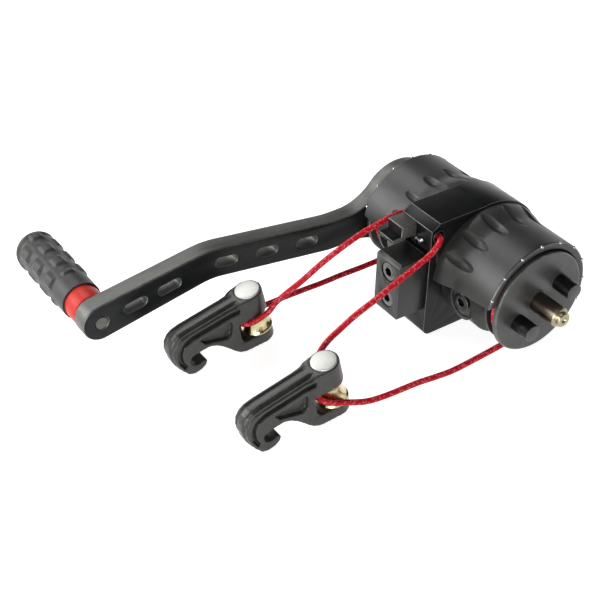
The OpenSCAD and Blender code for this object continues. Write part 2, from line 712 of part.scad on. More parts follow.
module plunger_plug() color("#55575c") place() difference() {
    union() {
        along_y(ratchet_x, -plunger_drop, -boss_front, -plug_in, plug_r - fit_c);
        along_y(ratchet_x, -plunger_drop, -boss_front - boss_step, -boss_front + boss_step,
            plug_r + plug_flange);
    }
    translate([ratchet_x, -plug_in - plug_len / 2, -plunger_drop]) socket(2 * plug_len);
}

module plunger_spring() color("#aeb1b5") place() tube(spring_path, spring_wire / 2, 6);

module pawl_plunger() color("#84878c") place() {
    along_y(ratchet_x, -plunger_drop, plunger_back, tongue_y - tongue_l + e, plunger_r);
    translate([ratchet_x - tongue_w / 2, tongue_y - tongue_l, -plunger_drop - tongue_t / 2])
        cube([tongue_w, tongue_l, tongue_t]);
}

module main_shaft() color("#9a8f82") place() difference() {
    both_sides() round_x([[0, 0], [shaft_r, 0], [shaft_r, shaft_half - tip_len],
        [tip_r, shaft_half - tip_len + tip_step / 2], [tip_r, shaft_half], [0, shaft_half]]);
    difference() {
        along_x(-clip_x - clip_t - fit_c, -clip_x + fit_c, shaft_r + 1);
        along_x(-clip_x - clip_t - 1, -clip_x + 1, clip_root);
    }
    both_sides() difference() {
        along_x(plate_face - relief_w, plate_face, shaft_r + 1);
        along_x(plate_face - relief_w - 1, plate_face + 1, shaft_r - relief_d);
    }
}

function polar(r, a) = [r * cos(a), r * sin(a)];
module ratchet_wheel() color("#6d7075") place() difference() {
    side_slab(ratchet_x - ratchet_w / 2, ratchet_x + ratchet_w / 2)
        polygon([for (k = [0:teeth - 1], j = [0:3])
            polar(tooth_r - tooth_h * j / 3, tooth_turn + tooth_step * (k + j / 3))]);
    along_x(0, far, shaft_r + fit_c);
}

module reel() difference() {
    union() {
        along_x(reel_in, reel_out, hub_r);
        along_x(reel_in, reel_in + flange_t, flange_r);
    }
    along_x(0, far, shaft_r + fit_c);
}
module near_reel() color("#303134") place() reel();
module far_reel() color("#303134") place() far_side() reel();

module near_winding() color("#c21f2a") place() tube(wind_path, cord_d / 2, 6);
module far_winding() color("#c21f2a") place() far_side() tube(wind_path, cord_d / 2, 6);

module pegs_at(x0, x1, r) for (s = [0, 180]) rotate([peg_turn + s, 0, 0]) translate([0, peg_pitch_r, 0])
    along_x(x0, x1, r);
module drive_plate() difference() {
    round_x([[0, reel_out], [plate_r, reel_out], [plate_r, plate_face - plate_chamfer],
        [plate_r - plate_chamfer, plate_face], [0, plate_face]]);
    along_x(0, far, shaft_r + fit_c);
    pegs_at(0, far, peg_shank + fit_c);
}
module near_drive_plate() color("#4d4e52") place() drive_plate();
module far_drive_plate() color("#4d4e52") place() far_side() drive_plate();

module peg_pair(r) {
    pegs_at(reel_out, plate_face + e, peg_shank);
    pegs_at(plate_face, plate_face + peg_out, r);
}
module drive_pegs() color("#1d1e20") place() {
    peg_pair(peg_r);
    far_side() peg_pair(peg_r - peg_slip);
}

module bar(a, b, w) translate([a[0], a[1]]) rotate(atan2(b[1] - a[1], b[0] - a[0])) translate([0, -w / 2])
    square([norm(b - a), w]);
module obround(l, w) {
    square([l - w, w], center = true);
    for (s = [-1, 1]) translate([s * (l - w) / 2, 0]) circle(d = w);
}
knee = [-knee_reach, -knee_drop];
elbow = [-elbow_reach, elbow_rise];
wrist = [grip_y, grip_z];
function on(a, b, t) = a + (b - a) * t;
arm_slots = concat([for (t = [0.21, 0.55, 0.88]) [on(knee, elbow, t), elbow - knee]],
    [for (t = [0.39, 0.7]) [on(elbow, wrist, t), wrist - elbow]]);
// Blends between the arm's edges and the hub, above (1) and below (-1)
function edge_height(side) = arm_w / 2 - side * knee_drop;
function blend_mid(side) = let (z = edge_height(side) + hub_blend_r, reach = crank_hub_r + hub_blend_r)
    [-sqrt(reach * reach - z * z), side * z];
function blend_foot(side) = [blend_mid(side)[0], side * edge_height(side)];
function blend_top(side) = crank_hub_r * unit(blend_mid(side));
module shoulder() difference() {
    polygon([blend_top(1), blend_foot(1), blend_foot(-1), blend_top(-1)]);
    for (side = [-1, 1]) translate(blend_mid(side)) circle(r = hub_blend_r);
}
// Elbow: a curved band between the two straight runs
elbow_in = unit(elbow - knee);
elbow_out = unit(wrist - elbow);
elbow_run = elbow_r * tan(acos(elbow_in * elbow_out) / 2);
bend_start = elbow - elbow_in * elbow_run;
bend_end = elbow + elbow_out * elbow_run;
bend_mid = bend_start + elbow_r * [-elbow_in[1], elbow_in[0]];
module elbow_band() intersection() {
    translate(bend_mid) difference() {
        circle(r = elbow_r + arm_w / 2, $fn = 180);
        circle(r = elbow_r - arm_w / 2, $fn = 180);
    }
    polygon([bend_mid, bend_mid + 2 * (bend_start - bend_mid), bend_mid + 2 * (elbow - bend_mid),
        bend_mid + 2 * (bend_end - bend_mid)]);
}
module arm_outline() {
    circle(r = crank_hub_r);
    bar([0, -knee_drop], knee, arm_w);
    shoulder();
    translate(knee) circle(d = arm_w);
    bar(knee, bend_start + weld * elbow_in, arm_w);
    elbow_band();
    bar(bend_end - weld * elbow_out, wrist, arm_w);
    translate(wrist) circle(r = arm_end_r);
}
module crank_arm() color("#242528") place() difference() {
    side_slab(-crank_face - arm_t, -crank_face) arm_outline();
    for (s = arm_slots) side_slab(-crank_face - arm_t - 1, -crank_face + 1) translate(s[0])
        rotate(atan2(s[1][1], s[1][0])) obround(arm_slot_l, arm_slot_w);
    along_x(-far, far, shaft_r + run_c);
    pegs_at(-far, far, peg_r + run_c);
    translate([0, grip_y, grip_z]) along_x(-far, far, axle_r + fit_c);
}

module retaining_ring() color("#a5a8ac") place() difference() {
    along_x(-clip_x - clip_t, -clip_x, clip_r);
    along_x(-far, far, clip_root + fit_c);
    translate([-far, -clip_r - 1, -clip_mouth / 2]) cube([2 * far, clip_r + 1, clip_mouth]);
}

module grip_axle() color("#8b8d90") place() translate([0, grip_y, grip_z]) {
    along_x(-sleeve_end + axle_flange_t + side_c, -crank_face, axle_r);
    along_x(-sleeve_end + side_c, -sleeve_end + axle_flange_t + side_c, axle_flange_r);
}

module grip_collar() color("#d3202c") place() translate([0, grip_y, grip_z]) difference() {
    along_x(-collar_x - collar_len, -collar_x, collar_r);
    along_x(-far * 2, far, axle_r + run_c);
}

panel_from = sleeve_x + grip_neck;
panel_to = sleeve_end - furrow_w;
panel_len = (panel_to - panel_from) / panel_rows;
module grip_sleeve() color("#1f2022") place() translate([0, grip_y, grip_z]) difference() {
    rotate([0, -90, 0]) rotate_extrude() polygon([[0, sleeve_x], [grip_r - neck_slim, sleeve_x],
        [grip_r - neck_slim, panel_from - furrow_w], [grip_r, panel_from], [grip_r, panel_to],
        [grip_r - neck_slim / 2, sleeve_end], [0, sleeve_end]]);
    along_x(-far * 2, far, axle_r + run_c);
    along_x(-sleeve_end - 1, -sleeve_end + axle_flange_t + 2 * side_c, axle_flange_r + side_c);
    // Furrows between the grip panels
    for (k = [0:panels - 1]) rotate([360 * (k + 0.5) / panels, 0, 0])
        translate([-panel_to, grip_r - furrow, -furrow_w / 2])
            cube([panel_to - panel_from, grip_r, furrow_w]);
    for (j = [1:panel_rows - 1]) let (x = -panel_from - j * panel_len) difference() {
        along_x(x - furrow_w / 2, x + furrow_w / 2, grip_r + 1);
        along_x(-sleeve_end, -sleeve_x, grip_r - furrow);
    }
}

cap_r = grip_r - neck_slim / 2;
module grip_end_cap() color("#28292c") place() translate([0, grip_y, grip_z]) rotate([0, -90, 0])
    rotate_extrude() polygon(concat([[0, sleeve_end + fit_c], [cap_r, sleeve_end + fit_c]],
        [for (a = [0:15:90])
            [cap_r - cap_round, sleeve_end + grip_cap_len - cap_round] + polar(cap_round, a)],
        [[0, sleeve_end + grip_cap_len]]));

// Hooks: drawn upright with the pin along Z and the claw towards -Y
hook_line = [[0, hook_top], [hook_len - 10.4, hook_top + 0.4], [hook_len - 6.4, hook_top],
    [hook_len - 3.4, hook_top - 1.4], [hook_len - 1.1, hook_top - 4], [hook_len, hook_top - 7.6],
    [hook_len, 4.4], [hook_len - 0.8, 0.4], [hook_len - 2.4, -3.6], [hook_len - 4.8, -6.3], claw_low,
    [hook_len - 11.2, -7.5], [hook_len - 13.8, -6.4], [hook_len - 15, -4.6],
    [hook_len - 14.8, -3.4], [hook_len - 13.4, -3], [hook_len - 11.4, -3.4], [hook_len - 9.4, -3.1],
    [hook_len - 7.7, -1.8], [hook_len - 7.4, 0.4],
    [hook_len - 8.3, 2], [hook_len - 10.4, 2.4], [hook_len - 15.4, 2.3], [hook_len - 18.4, 2], [23, 0.2],
    [20.2, -2.6], [17.8, -5.8], [15.8, -8.7], [13.6, -11.2], [11, -12.5], [8, lobe_low], [0, lobe_low]];
pocket_line = [[28, 5], [17, 0.2], [14.4, 1.2], [13, 6], [13.4, 8.4], [30, 8.6]];
groove_line = [[8, hook_top - 5], [hook_len - 11.4, hook_top - 4.6], [hook_len - 7, hook_top - 5.8],
    [hook_len - 4.8, hook_top - 9.2], [hook_len - 4.4, 2.4], [hook_len - 5.6, -1.6], [hook_len - 4, -2.4],
    [hook_len - 2.4, 2], [hook_len - 2.6, hook_top - 8.4], [hook_len - 5.4, hook_top - 4],
    [hook_len - 10.4, hook_top - 2.2], [8, hook_top - 2.6]];
module forward(p) polygon([for (v = p) [-v[0], v[1]]]);
module lay() translate([hook_x, -hook_y, -hook_z]) rotate([hook_tilt, 0, 0]) children();
module lug(z0, z1, r) {
    translate([0, 0, z0]) cylinder(r = r, h = z1 - z0);
    translate([0, 0, z0]) linear_extrude(z1 - z0)
        polygon([[-r, 0], [r, 0], [hook_w / 2, -2 * r], [-hook_w / 2, -2 * r]]);
}
module hook() lay() difference() {
    union() {
        side_slab(-hook_w / 2, hook_w / 2) forward(hook_line);
        lug(slot_mid + roller_slot / 2, hook_top, lug_r);
        intersection() {
            lug(lobe_low, slot_mid - roller_slot / 2, lug_r + lobe_extra);
            side_slab(-far, far)
                forward(concat([[-far, lobe_low], [-far, 0]], [for (v = hook_line) if (v[0] > 0) v]));
        }
    }
    // Roller slot with its rounded front corners
    translate([0, 0, slot_mid]) {
        translate([-far, slot_corner - slot_reach, -roller_slot / 2]) cube([2 * far, far, roller_slot]);
        translate([-far, -slot_reach, slot_corner - roller_slot / 2])
            cube([2 * far, far, roller_slot - 2 * slot_corner]);
        for (s = [-1, 1]) translate([0, slot_corner - slot_reach, s * (roller_slot / 2 - slot_corner)])
            along_x(-far, far, slot_corner);
    }
    // Pin hole and the head's seat
    translate([0, 0, lobe_low - 1]) cylinder(r = pin_r + fit_c, h = head_seat - lobe_low + 2);
    translate([0, 0, head_seat]) cylinder(r = pin_head_r + fit_c, h = pin_head_h);
    // Flank pockets and grooves
    both_sides() side_slab(hook_w / 2 - pocket_depth, hook_w / 2 + 1) {
        forward(pocket_line);
        forward(groove_line);
    }
}
module near_hook() color("#35363a") place() hook();
module far_hook() color("#35363a") place() far_side() hook();

module roller() lay() difference() {
    h = roller_slot / 2 - side_c;
    translate([0, 0, slot_mid]) rotate_extrude() polygon([[0, -h], [roller_r, -h],
        [roller_r, -h + roller_flange],
        [waist_r, -h + roller_flange + roller_slope], [waist_r, h - roller_flange],
        [roller_lip_r, h - roller_flange + roller_slope / 2], [roller_lip_r, h], [0, h]]);
    translate([0, 0, lobe_low - e]) cylinder(r = pin_r + run_c, h = lug_top - lobe_low);
}
module near_roller() color("#c6a24e") place() roller();
module far_roller() color("#c6a24e") place() far_side() roller();

module hook_pin() lay() {
    translate([0, 0, lobe_low + side_c]) cylinder(r = pin_r, h = head_seat - lobe_low - side_c + e);
    translate([0, 0, head_seat]) cylinder(r = pin_head_r, h = pin_head_h);
}
module near_hook_pin() color("#d9dadb") place() hook_pin();
module far_hook_pin() color("#d9dadb") place() far_side() hook_pin();

module strand(p) { tube(p, cord_d / 2, 8); }
module near_cord_bend() color("#c21f2a") place() strand(near_loop);
module far_cord_bend() color("#c21f2a") place() strand(far_loop);

module nose_cord() color("#c21f2a") place() translate([0, hole_y, hole_z])
    along_x(-half_w - fairlead_rim_t, half_w + fairlead_rim_t, cord_d / 2);
module near_upper_cord() color("#c21f2a") place() strand(concat(near_upper, run_in(near_loop)));
module near_lower_cord() color("#c21f2a") place() strand(concat(near_lower, run_out(near_loop)));
module far_upper_cord() color("#c21f2a") place() strand(concat(far_upper, run_in(far_loop)));
module far_lower_cord() color("#c21f2a") place() strand(concat(far_lower, run_out(far_loop)));

centre_body();
fairleads();
upper_jaw();
mount_block();
block_screws();
slot_screw();
near_cover();
far_cover();
near_rim_studs();
far_rim_studs();
near_housing();
far_housing();
housing_screws();
shaft_bushes();
plunger_plug();
plunger_spring();
pawl_plunger();
main_shaft();
ratchet_wheel();
near_reel();
far_reel();
near_winding();
far_winding();
near_drive_plate();
far_drive_plate();
drive_pegs();
crank_arm();
retaining_ring();
grip_axle();
grip_sleeve();
grip_collar();
grip_end_cap();
near_hook();
far_hook();
near_roller();
far_roller();
near_hook_pin();
far_hook_pin();
near_cord_bend();
far_cord_bend();
nose_cord();
near_upper_cord();
near_lower_cord();
far_upper_cord();
far_lower_cord();
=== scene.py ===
"""Dresses the hand crank cocking winch: cords, covers, crank, grip, hooks and their finishes."""

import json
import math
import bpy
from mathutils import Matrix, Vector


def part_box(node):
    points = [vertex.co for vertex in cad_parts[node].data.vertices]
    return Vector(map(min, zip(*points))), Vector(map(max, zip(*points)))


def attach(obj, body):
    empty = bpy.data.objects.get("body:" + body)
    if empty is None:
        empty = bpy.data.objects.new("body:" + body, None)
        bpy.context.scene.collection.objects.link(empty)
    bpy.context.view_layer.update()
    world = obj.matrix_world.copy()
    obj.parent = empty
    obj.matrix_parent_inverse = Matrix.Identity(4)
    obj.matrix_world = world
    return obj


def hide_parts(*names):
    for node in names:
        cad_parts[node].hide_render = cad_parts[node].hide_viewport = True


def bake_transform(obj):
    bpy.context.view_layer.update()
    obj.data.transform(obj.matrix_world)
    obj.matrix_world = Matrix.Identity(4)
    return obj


bl_info = {
    "name": "Cocking winch",
    "version": (1, 1, 0),
    "blender": (4, 5, 0),
    "location": "3D View > Sidebar > Winch",
    "description": "Builds the visible pieces and finishes of a hand crank cocking winch",
    "category": "Object",
}

from contextlib import contextmanager

import bmesh
import bpy
import numpy as np
from mathutils import Matrix, Quaternion, Vector

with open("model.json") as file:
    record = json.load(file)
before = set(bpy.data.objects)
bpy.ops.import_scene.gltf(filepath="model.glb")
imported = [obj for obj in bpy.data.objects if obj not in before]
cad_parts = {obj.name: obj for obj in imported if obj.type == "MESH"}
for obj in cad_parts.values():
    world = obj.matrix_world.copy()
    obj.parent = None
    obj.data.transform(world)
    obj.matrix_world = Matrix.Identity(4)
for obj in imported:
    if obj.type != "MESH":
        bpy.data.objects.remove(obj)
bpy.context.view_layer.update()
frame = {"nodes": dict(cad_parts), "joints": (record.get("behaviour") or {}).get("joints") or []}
MM = 0.001
JOINTS = {j["name"]: j for j in frame["joints"]}
# Middle of the shaft. Places below are written in millimetres about it:
# +X to the bare shaft end, -Y to the hooks, +Z up.
SHAFT = Vector(JOINTS["crank_turn"]["pos_m"])
FLOOR_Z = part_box("centre_body")[0][2]
SIDES = {"near": 1, "far": -1}


def at(x, y, z):
    """A place in metres, given in mm about the middle of the shaft."""
    return SHAFT + Vector((x, y, z)) * MM


def polar(r, a):
    """The flat place at that radius and angle, in radians."""
    return np.array((r * math.cos(a), r * math.sin(a)))


def span(node, axis):
    """Lowest and highest place of a CAD node along an axis, in mm about the shaft."""
    low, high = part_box(node)
    return (low[axis] - SHAFT[axis]) / MM, (high[axis] - SHAFT[axis]) / MM


def middle(joint):
    """A joint's place in mm about the shaft."""
    return (Vector(JOINTS[joint]["pos_m"]) - SHAFT) / MM


# Hooks lean about X, and their pins lean with them
HOOK_TILT = math.radians(13)
HOOK_PIN = middle("near_roller_turn")
GRIP_AXIS = middle("grip_spin")
# Shaft and drive pegs, which the plates carry and the crank arm's bores go over
SHAFT_R = 4.75
PEG_R = 4.0
PEG_CIRCLE = 13.0
PEG_TURNS = (math.radians(31), math.radians(211))

# Colours and finishes

MATH = "ShaderNodeMath"
NOISE = "ShaderNodeTexNoise"
RAMP = "ShaderNodeValToRGB"
RANGE = "ShaderNodeMapRange"
FINISH = {}


def linear(code):
    """sRGB hex to linear RGBA."""
    v = [int(code[i : i + 2], 16) / 255 for i in (1, 3, 5)]
    return tuple(c / 12.92 if c <= 0.04045 else ((c + 0.055) / 1.055) ** 2.4 for c in v) + (1.0,)


def rgba(colour):
    """A hex value or a property's linear colour, as linear RGBA."""
    return linear(colour) if isinstance(colour, str) else (*colour, 1.0)


def add(tree, kind, inputs=(), stops=None, **settings):
    """Adds a node with its settings, its ramp's stops, and its inputs by name or in order.

    An input is a value, a socket, or a node that stands for its first output."""
    n = tree.nodes.new(kind)
    for key, value in settings.items():
        setattr(n, key, value)
    if stops:
        elements = n.color_ramp.elements
        while len(elements) < len(stops):
            elements.new(0.5)
        for element, (place, colour) in zip(elements, stops.items()):
            element.position = place
            element.color = rgba(colour)
    for key, value in inputs.items() if isinstance(inputs, dict) else enumerate(inputs):
        if isinstance(value, bpy.types.Node):
            value = value.outputs[0]
        if isinstance(value, bpy.types.NodeSocket):
            tree.links.new(value, n.inputs[key])
        else:
            n.inputs[key].default_value = value
    return n


def new_finish(name):
    """A material and its empty tree."""
    m = bpy.data.materials.new(name)
    m.use_nodes = True
    m.node_tree.nodes.clear()
    return m, m.node_tree


def end_finish(tree, tone, gloss, height, bump, depth_mm, **shader):
    """Colour, gloss and relief go into the shader with its other values, and the shader to the output."""
    relief = {"Height": height, "Strength": bump, "Distance": depth_mm * MM}
    inputs = {"Base Color": tone, "Roughness": gloss, "Normal": add(tree, "ShaderNodeBump", relief)}
    for key, value in shader.items():
        inputs[key.replace("_", " ").title().replace("Ior", "IOR")] = value
    surface = add(tree, "ShaderNodeBsdfPrincipled", inputs)
    add(tree, "ShaderNodeOutputMaterial", {"Surface": surface})


def grained(key, name, dark, light, rough, grain_mm, blotch_mm=9.0, bump=0.1, stretch=(1, 1, 1), **shader):
    """A blasted, coated or moulded surface: fine grit in bump and gloss, soft blotches in colour."""
    FINISH[key], t = new_finish(name)
    where = add(t, "ShaderNodeTexCoord").outputs["Object"]
    where = add(t, "ShaderNodeMapping", {"Vector": where, "Scale": stretch})
    noise = {"Vector": where, "Detail": 3.0, "Roughness": 0.6}
    grit = add(t, NOISE, {**noise, "Scale": 1 / (grain_mm * MM)})
    blotch = add(t, NOISE, {**noise, "Scale": 1 / (blotch_mm * MM)})
    share = add(t, MATH, (grit, 0.4), operation="MULTIPLY")
    mixed = add(t, MATH, (blotch, 0.6, share), operation="MULTIPLY_ADD")
    tone = add(t, RAMP, {"Fac": mixed}, stops={0.32: dark, 0.68: light})
    spread = {"Value": mixed, "From Min": 0.3, "From Max": 0.7}
    gloss = add(t, RANGE, {**spread, "To Min": rough - 0.05, "To Max": rough + 0.07})
    end_finish(t, tone, gloss, grit, bump, grain_mm * 0.3, **shader)


# Width of the stains on turned metal, and how far they shift a colour that runs along the axis
STAIN = 6.0
STAIN_SHARE = 0.16


def turned_metal(key, name, stops, rough, line_mm, axis="X", centre=SHAFT, bump=0.1, along=None, **shader):
    """Lathe-turned metal: fine rings round the axis, a little stain between them.

    stops colour the stain, or the way along the axis where along gives its two ends in mm."""
    FINISH[key], t = new_finish(name)
    where = add(t, "ShaderNodeTexCoord").outputs["Object"]
    where = add(t, "ShaderNodeMapping", {"Vector": where, "Location": tuple(-c for c in centre)})
    split = add(t, "ShaderNodeSeparateXYZ", {"Vector": where}).outputs
    a, b = [split[k] for k in "XYZ" if k != axis]
    square = add(t, MATH, (a, a), operation="MULTIPLY")
    square = add(t, MATH, (b, b, square), operation="MULTIPLY_ADD")
    radius = add(t, MATH, (square,), operation="SQRT")
    line = add(t, MATH, (radius, split[axis]), operation="ADD")
    line = add(t, MATH, (line, 1 / (line_mm * MM)), operation="MULTIPLY")
    rings = {"W": line, "Scale": 1.0, "Detail": 3.0, "Roughness": 0.7}
    rings = add(t, NOISE, rings, noise_dimensions="1D")
    stain = add(t, NOISE, {"Vector": where, "Scale": 1 / (STAIN * MM), "Detail": 4.0})
    mixed = add(t, MATH, (rings, 0.5, stain), operation="MULTIPLY_ADD")
    spread = {"Value": mixed, "From Min": 0.5, "From Max": 1.0}
    gloss = add(t, RANGE, {**spread, "To Min": rough - 0.05, "To Max": rough + 0.08})
    way = add(t, RANGE, spread)
    if along:
        ends = {"Value": split[axis], "From Min": along[0] * MM, "From Max": along[1] * MM}
        ends = add(t, MATH, (add(t, RANGE, ends), STAIN_SHARE / 2), operation="SUBTRACT")
        way = add(t, MATH, (way, STAIN_SHARE, ends), operation="MULTIPLY_ADD")
    tone = add(t, RAMP, {"Fac": way}, stops=stops)
    end_finish(t, tone, gloss, rings, bump, line_mm * 0.25, **{"metallic": 1.0, **shader})


# The braid: bundles that run each way round the cord, and the length in which one goes round
BRAID_STRANDS = 8
BRAID_LAY = 8.8


def braided_cord(key, name, body, shade, glint_fleck):
    """Yarn bundles that cross over and under, with painted shade in the creases between them and painted
    highlights as pale flecks on some.
    """
    FINISH[key], t = new_finish(name)
    uv = add(t, "ShaderNodeUVMap", uv_map="cord")
    split = add(t, "ShaderNodeSeparateXYZ", {"Vector": uv}).outputs
    turns = add(t, MATH, (split["X"], float(BRAID_STRANDS)), operation="MULTIPLY")
    run = add(t, MATH, (split["Y"], BRAID_STRANDS / (BRAID_LAY * MM)), operation="MULTIPLY")
    counts, bows = [], []
    for way in ("ADD", "SUBTRACT"):
        place = add(t, MATH, (turns, run), operation=way)
        bow = add(t, MATH, (add(t, MATH, (place,), operation="FRACT"), 0.5), operation="SUBTRACT")
        bows.append(add(t, MATH, (bow,), operation="ABSOLUTE"))
        counts.append(add(t, MATH, (place,), operation="FLOOR"))
    both = add(t, MATH, counts, operation="ADD")
    over = add(t, MATH, (both, 2.0), operation="FLOORED_MODULO")
    edge = add(t, "ShaderNodeMix", {"Factor": over, "A": bows[0], "B": bows[1]}, data_type="FLOAT")
    cell = add(t, "ShaderNodeCombineXYZ", counts)
    chance = add(t, "ShaderNodeTexWhiteNoise", {"Vector": cell}, noise_dimensions="3D")
    # Some bundles are painted pale as highlights: the flecks
    yarn = add(t, RAMP, {"Fac": chance}, stops={0.0: body, 0.72: body, 0.8: glint_fleck, 1.0: glint_fleck})
    # The creases between bundles are painted darker as shade
    crease_shade = add(t, RANGE, {"Value": edge, "From Min": 0.26, "From Max": 0.5})
    tone = add(t, "ShaderNodeMix", {"Factor": crease_shade, "A": yarn, "B": rgba(shade)}, data_type="RGBA")
    fibre = add(t, NOISE, {"Vector": uv, "Scale": 1 / (0.4 * MM), "Detail": 2.0})
    end_finish(t, tone.outputs[2], 0.5, fibre, 0.2, 0.05, specular_ior_level=0.3)


def make_finishes():
    """Every finish of the winch, once: its tones, its roughness and the width of its grain or lathe lines.

    Real grit and lathe lines are mostly finer than 0.2 mm, and are drawn coarser here, so that
    they show."""
    look = bpy.context.scene.winch_look
    # Aluminium, bead-blasted and anodised black: satin, with a soft grey sheen
    grained("cover", "anodised_aluminium_blasted", look.cover_dark, look.cover_light, 0.4, 0.4,
            blotch_mm=16, bump=0.14)
    # The same anodising on milled faces: smoother, so it shows the room as a dark gloss
    grained("body", "anodised_aluminium_milled", look.body_dark, look.body_light, 0.3, 0.3,
            blotch_mm=12, bump=0.05, specular_ior_level=0.22)
    # Milled and lightly blasted: a shade greyer than the body, with flat faces that hardly shine
    grained("block", "anodised_aluminium_satin", "#1e1f1e", "#2c2d2c", 0.36, 0.3, bump=0.08)
    # Broken edges, where handling has polished the anodising thin: a pale glint along the edge
    # Painted highlight: rounded edges get this pale finish, so that a glint is painted along every broken
    # edge
    grained("edge", "anodised_aluminium_painted_glint_edge", look.edge_glint_dark, look.edge_glint_light, 0.3, 0.5,
            blotch_mm=3, bump=0.05, metallic=0.6)
    # Turned and anodised grey: faint lathe rings
    turned_metal("housing", "anodised_aluminium_turned", {0.0: "#363836", 1.0: "#505250"}, 0.42, 0.5,
                 metallic=0.5)
    # Faced on a lathe and anodised graphite: an even grey disc, its rings only just there
    turned_metal("plate", "anodised_aluminium_faced", {0.0: "#484a48", 1.0: "#595b59"}, 0.38, 0.35,
                 metallic=0.45, bump=0.05)
    # Anodised black and left matt: dark and quiet behind the red cord
    grained("reel", "anodised_aluminium_matt", "#18191b", "#222326", 0.42, 0.3, bump=0.08)
    # Powder-coated arm faces: fine orange peel, almost black
    grained("arm", "aluminium_powder_coated", look.arm_dark, look.arm_light, 0.36, 0.6, blotch_mm=16,
            specular_ior_level=0.2)
    # The arm's sawn and brushed edge: streaks along the arm, greyer than its faces
    grained("arm_rim", "anodised_aluminium_brushed", look.rim_dark, look.rim_light, 0.42, 0.5,
            blotch_mm=5, bump=0.12, stretch=(1, 0.12, 1), metallic=0.35)
    # Screw heads, turned and zinc plated: bright grey with fine rings
    turned_metal("screw", "zinc_plated_steel", {0.0: "#5f6060", 1.0: "#969795"}, 0.26, 0.3, axis="Y",
                 bump=0.04)
    # Studs, nickel plated: small bright points that mirror the lamps
    grained("stud", "nickel_plated_steel", "#9a9b9a", "#cfd0cf", 0.2, 0.3, bump=0.03, metallic=1.0)
    # Black oxide on turned steel: near black, with an oily gloss on its rings
    turned_metal("oxide", "black_oxide_steel", {0.0: "#0e0f10", 1.0: "#1b1c1e"}, 0.3, 0.3, metallic=0.4,
                 bump=0.06)
    # Hardened shaft: brown from the oil quench, drawn to a straw colour at the tip
    brown = {0.0: "#6b5d56", 0.55: "#7d6f67", 0.8: "#8f8274", 1.0: "#a89f84"}
    turned_metal("shaft", "oil_quenched_steel", brown, 0.32, 0.3, bump=0.12, along=(44.0, 62.0))
    # The plunger, ground to size: warm grey with a close grain round it
    turned_metal("plunger", "ground_steel", {0.0: "#5e5650", 1.0: "#9a9188"}, 0.3, 0.25, axis="Y")
    # Drawn spring wire: cool bright grey
    turned_metal("spring", "spring_steel_drawn", {0.0: "#7d8085", 1.0: "#b4b7bb"}, 0.3, 0.3)
    # Pin heads: faced and tumbled, so the light breaks into a soft pale bloom
    grained("pin", "stainless_steel_tumbled", "#c6c6c1", "#dededa", 0.5, 2.5, blotch_mm=7, bump=0.03,
            metallic=1.0)
    # Bushes of sintered bronze: dull gold-brown, darkened by their oil
    turned_metal("bush", "sintered_bronze", {0.0: "#7d6331", 1.0: "#b8944f"}, 0.32, 0.3)
    # Turned brass, polished: pale gold with crisp dark and light bands
    for side, sign in SIDES.items():
        pin = at(HOOK_PIN.x * sign, HOOK_PIN.y, HOOK_PIN.z)
        turned_metal(side + "_brass", "polished_brass_" + side, {0.0: "#b6aa76", 1.0: "#e2dab2"}, 0.2, 0.4,
                     axis="Z", centre=pin, bump=0.03)
    # Cord bushes, moulded in acetal: smooth and black, with a waxy shine round the hole
    grained("bushing", "acetal_moulded", "#101112", "#191a1b", 0.34, 0.3, bump=0.04)
    # Glass-filled nylon, moulded: olive-black, with a leathery grain that lights up on the ridges
    grained("hook", "glass_filled_nylon_moulded", look.hook_dark, look.hook_light, 0.32, 0.7, blotch_mm=5,
            bump=0.22)
    # Moulded rubber: charcoal, bloomed grey on the high spots
    grained("rubber", "moulded_rubber", look.grip_dark, look.grip_light, 0.44, 0.5, blotch_mm=5,
            bump=0.12, specular_ior_level=0.35)
    # The collar, anodised red: one strong clear colour with a mild shine
    grained("collar", "anodised_aluminium_red", "#c4241b", "#d63022", 0.38, 0.5, bump=0.04,
            specular_ior_level=0.25)
    # Polyester cord, braided: bright red, with painted shade in the creases and a scatter of pale flecks
    # painted as highlights
    braided_cord("cord", "braided_polyester", look.cord_red, look.cord_shade, look.cord_glint_fleck)


# Meshes

# Points closer than this are one, in metres: in a new mesh, and in a CAD node's loose triangles
WELD = 1e-6
CAD_WELD = 2e-6


@contextmanager
def editing(me):
    """A mesh opened for editing, and written back afterwards."""
    bm = bmesh.new()
    bm.from_mesh(me)
    yield bm
    bm.to_mesh(me)
    bm.free()


def shade(me, angle=40):
    """Smooth, with edges over that angle sharp."""
    me.polygons.foreach_set("use_smooth", [True] * len(me.polygons))
    me.set_sharp_from_angle(angle=math.radians(angle))


def tidy_mesh(me, smooth=40):
    """Merges doubles, turns every face outwards and shades the mesh."""
    with editing(me) as bm:
        bmesh.ops.remove_doubles(bm, verts=bm.verts, dist=WELD)
        bmesh.ops.recalc_face_normals(bm, faces=bm.faces)
    shade(me, smooth)


def raw_mesh(name, points, faces=()):
    """A mesh as it is given."""
    me = bpy.data.meshes.new(name)
    me.from_pydata([tuple(p) for p in points], [], faces)
    me.update()
    return me


def mesh_of(name, points, faces, smooth=40):
    """A mesh from points and faces, merged, with its faces turned outwards."""
    me = raw_mesh(name, points, faces)
    tidy_mesh(me, smooth)
    return me


def net(rows, columns):
    """Faces between rows of points, each row closed on itself."""
    faces = []
    for i in range(0, (rows - 1) * columns, columns):
        for k in range(columns):
            q = (k + 1) % columns
            faces.append((i + k, i + q, i + columns + q, i + columns + k))
    return faces


def sort_faces(me, rule, keep=None):
    """Gives each face the number of its finish: rule takes the face's middle in mm and its normal.

    Faces whose number is keep stay as they are."""
    for p in me.polygons:
        if p.material_index != keep:
            p.material_index = rule((p.center - SHAFT) / MM, p.normal)


def scratch(data, name="scratch"):
    """An object for that data, in the scene."""
    o = bpy.data.objects.new(name, data)
    bpy.context.scene.collection.objects.link(o)
    return o


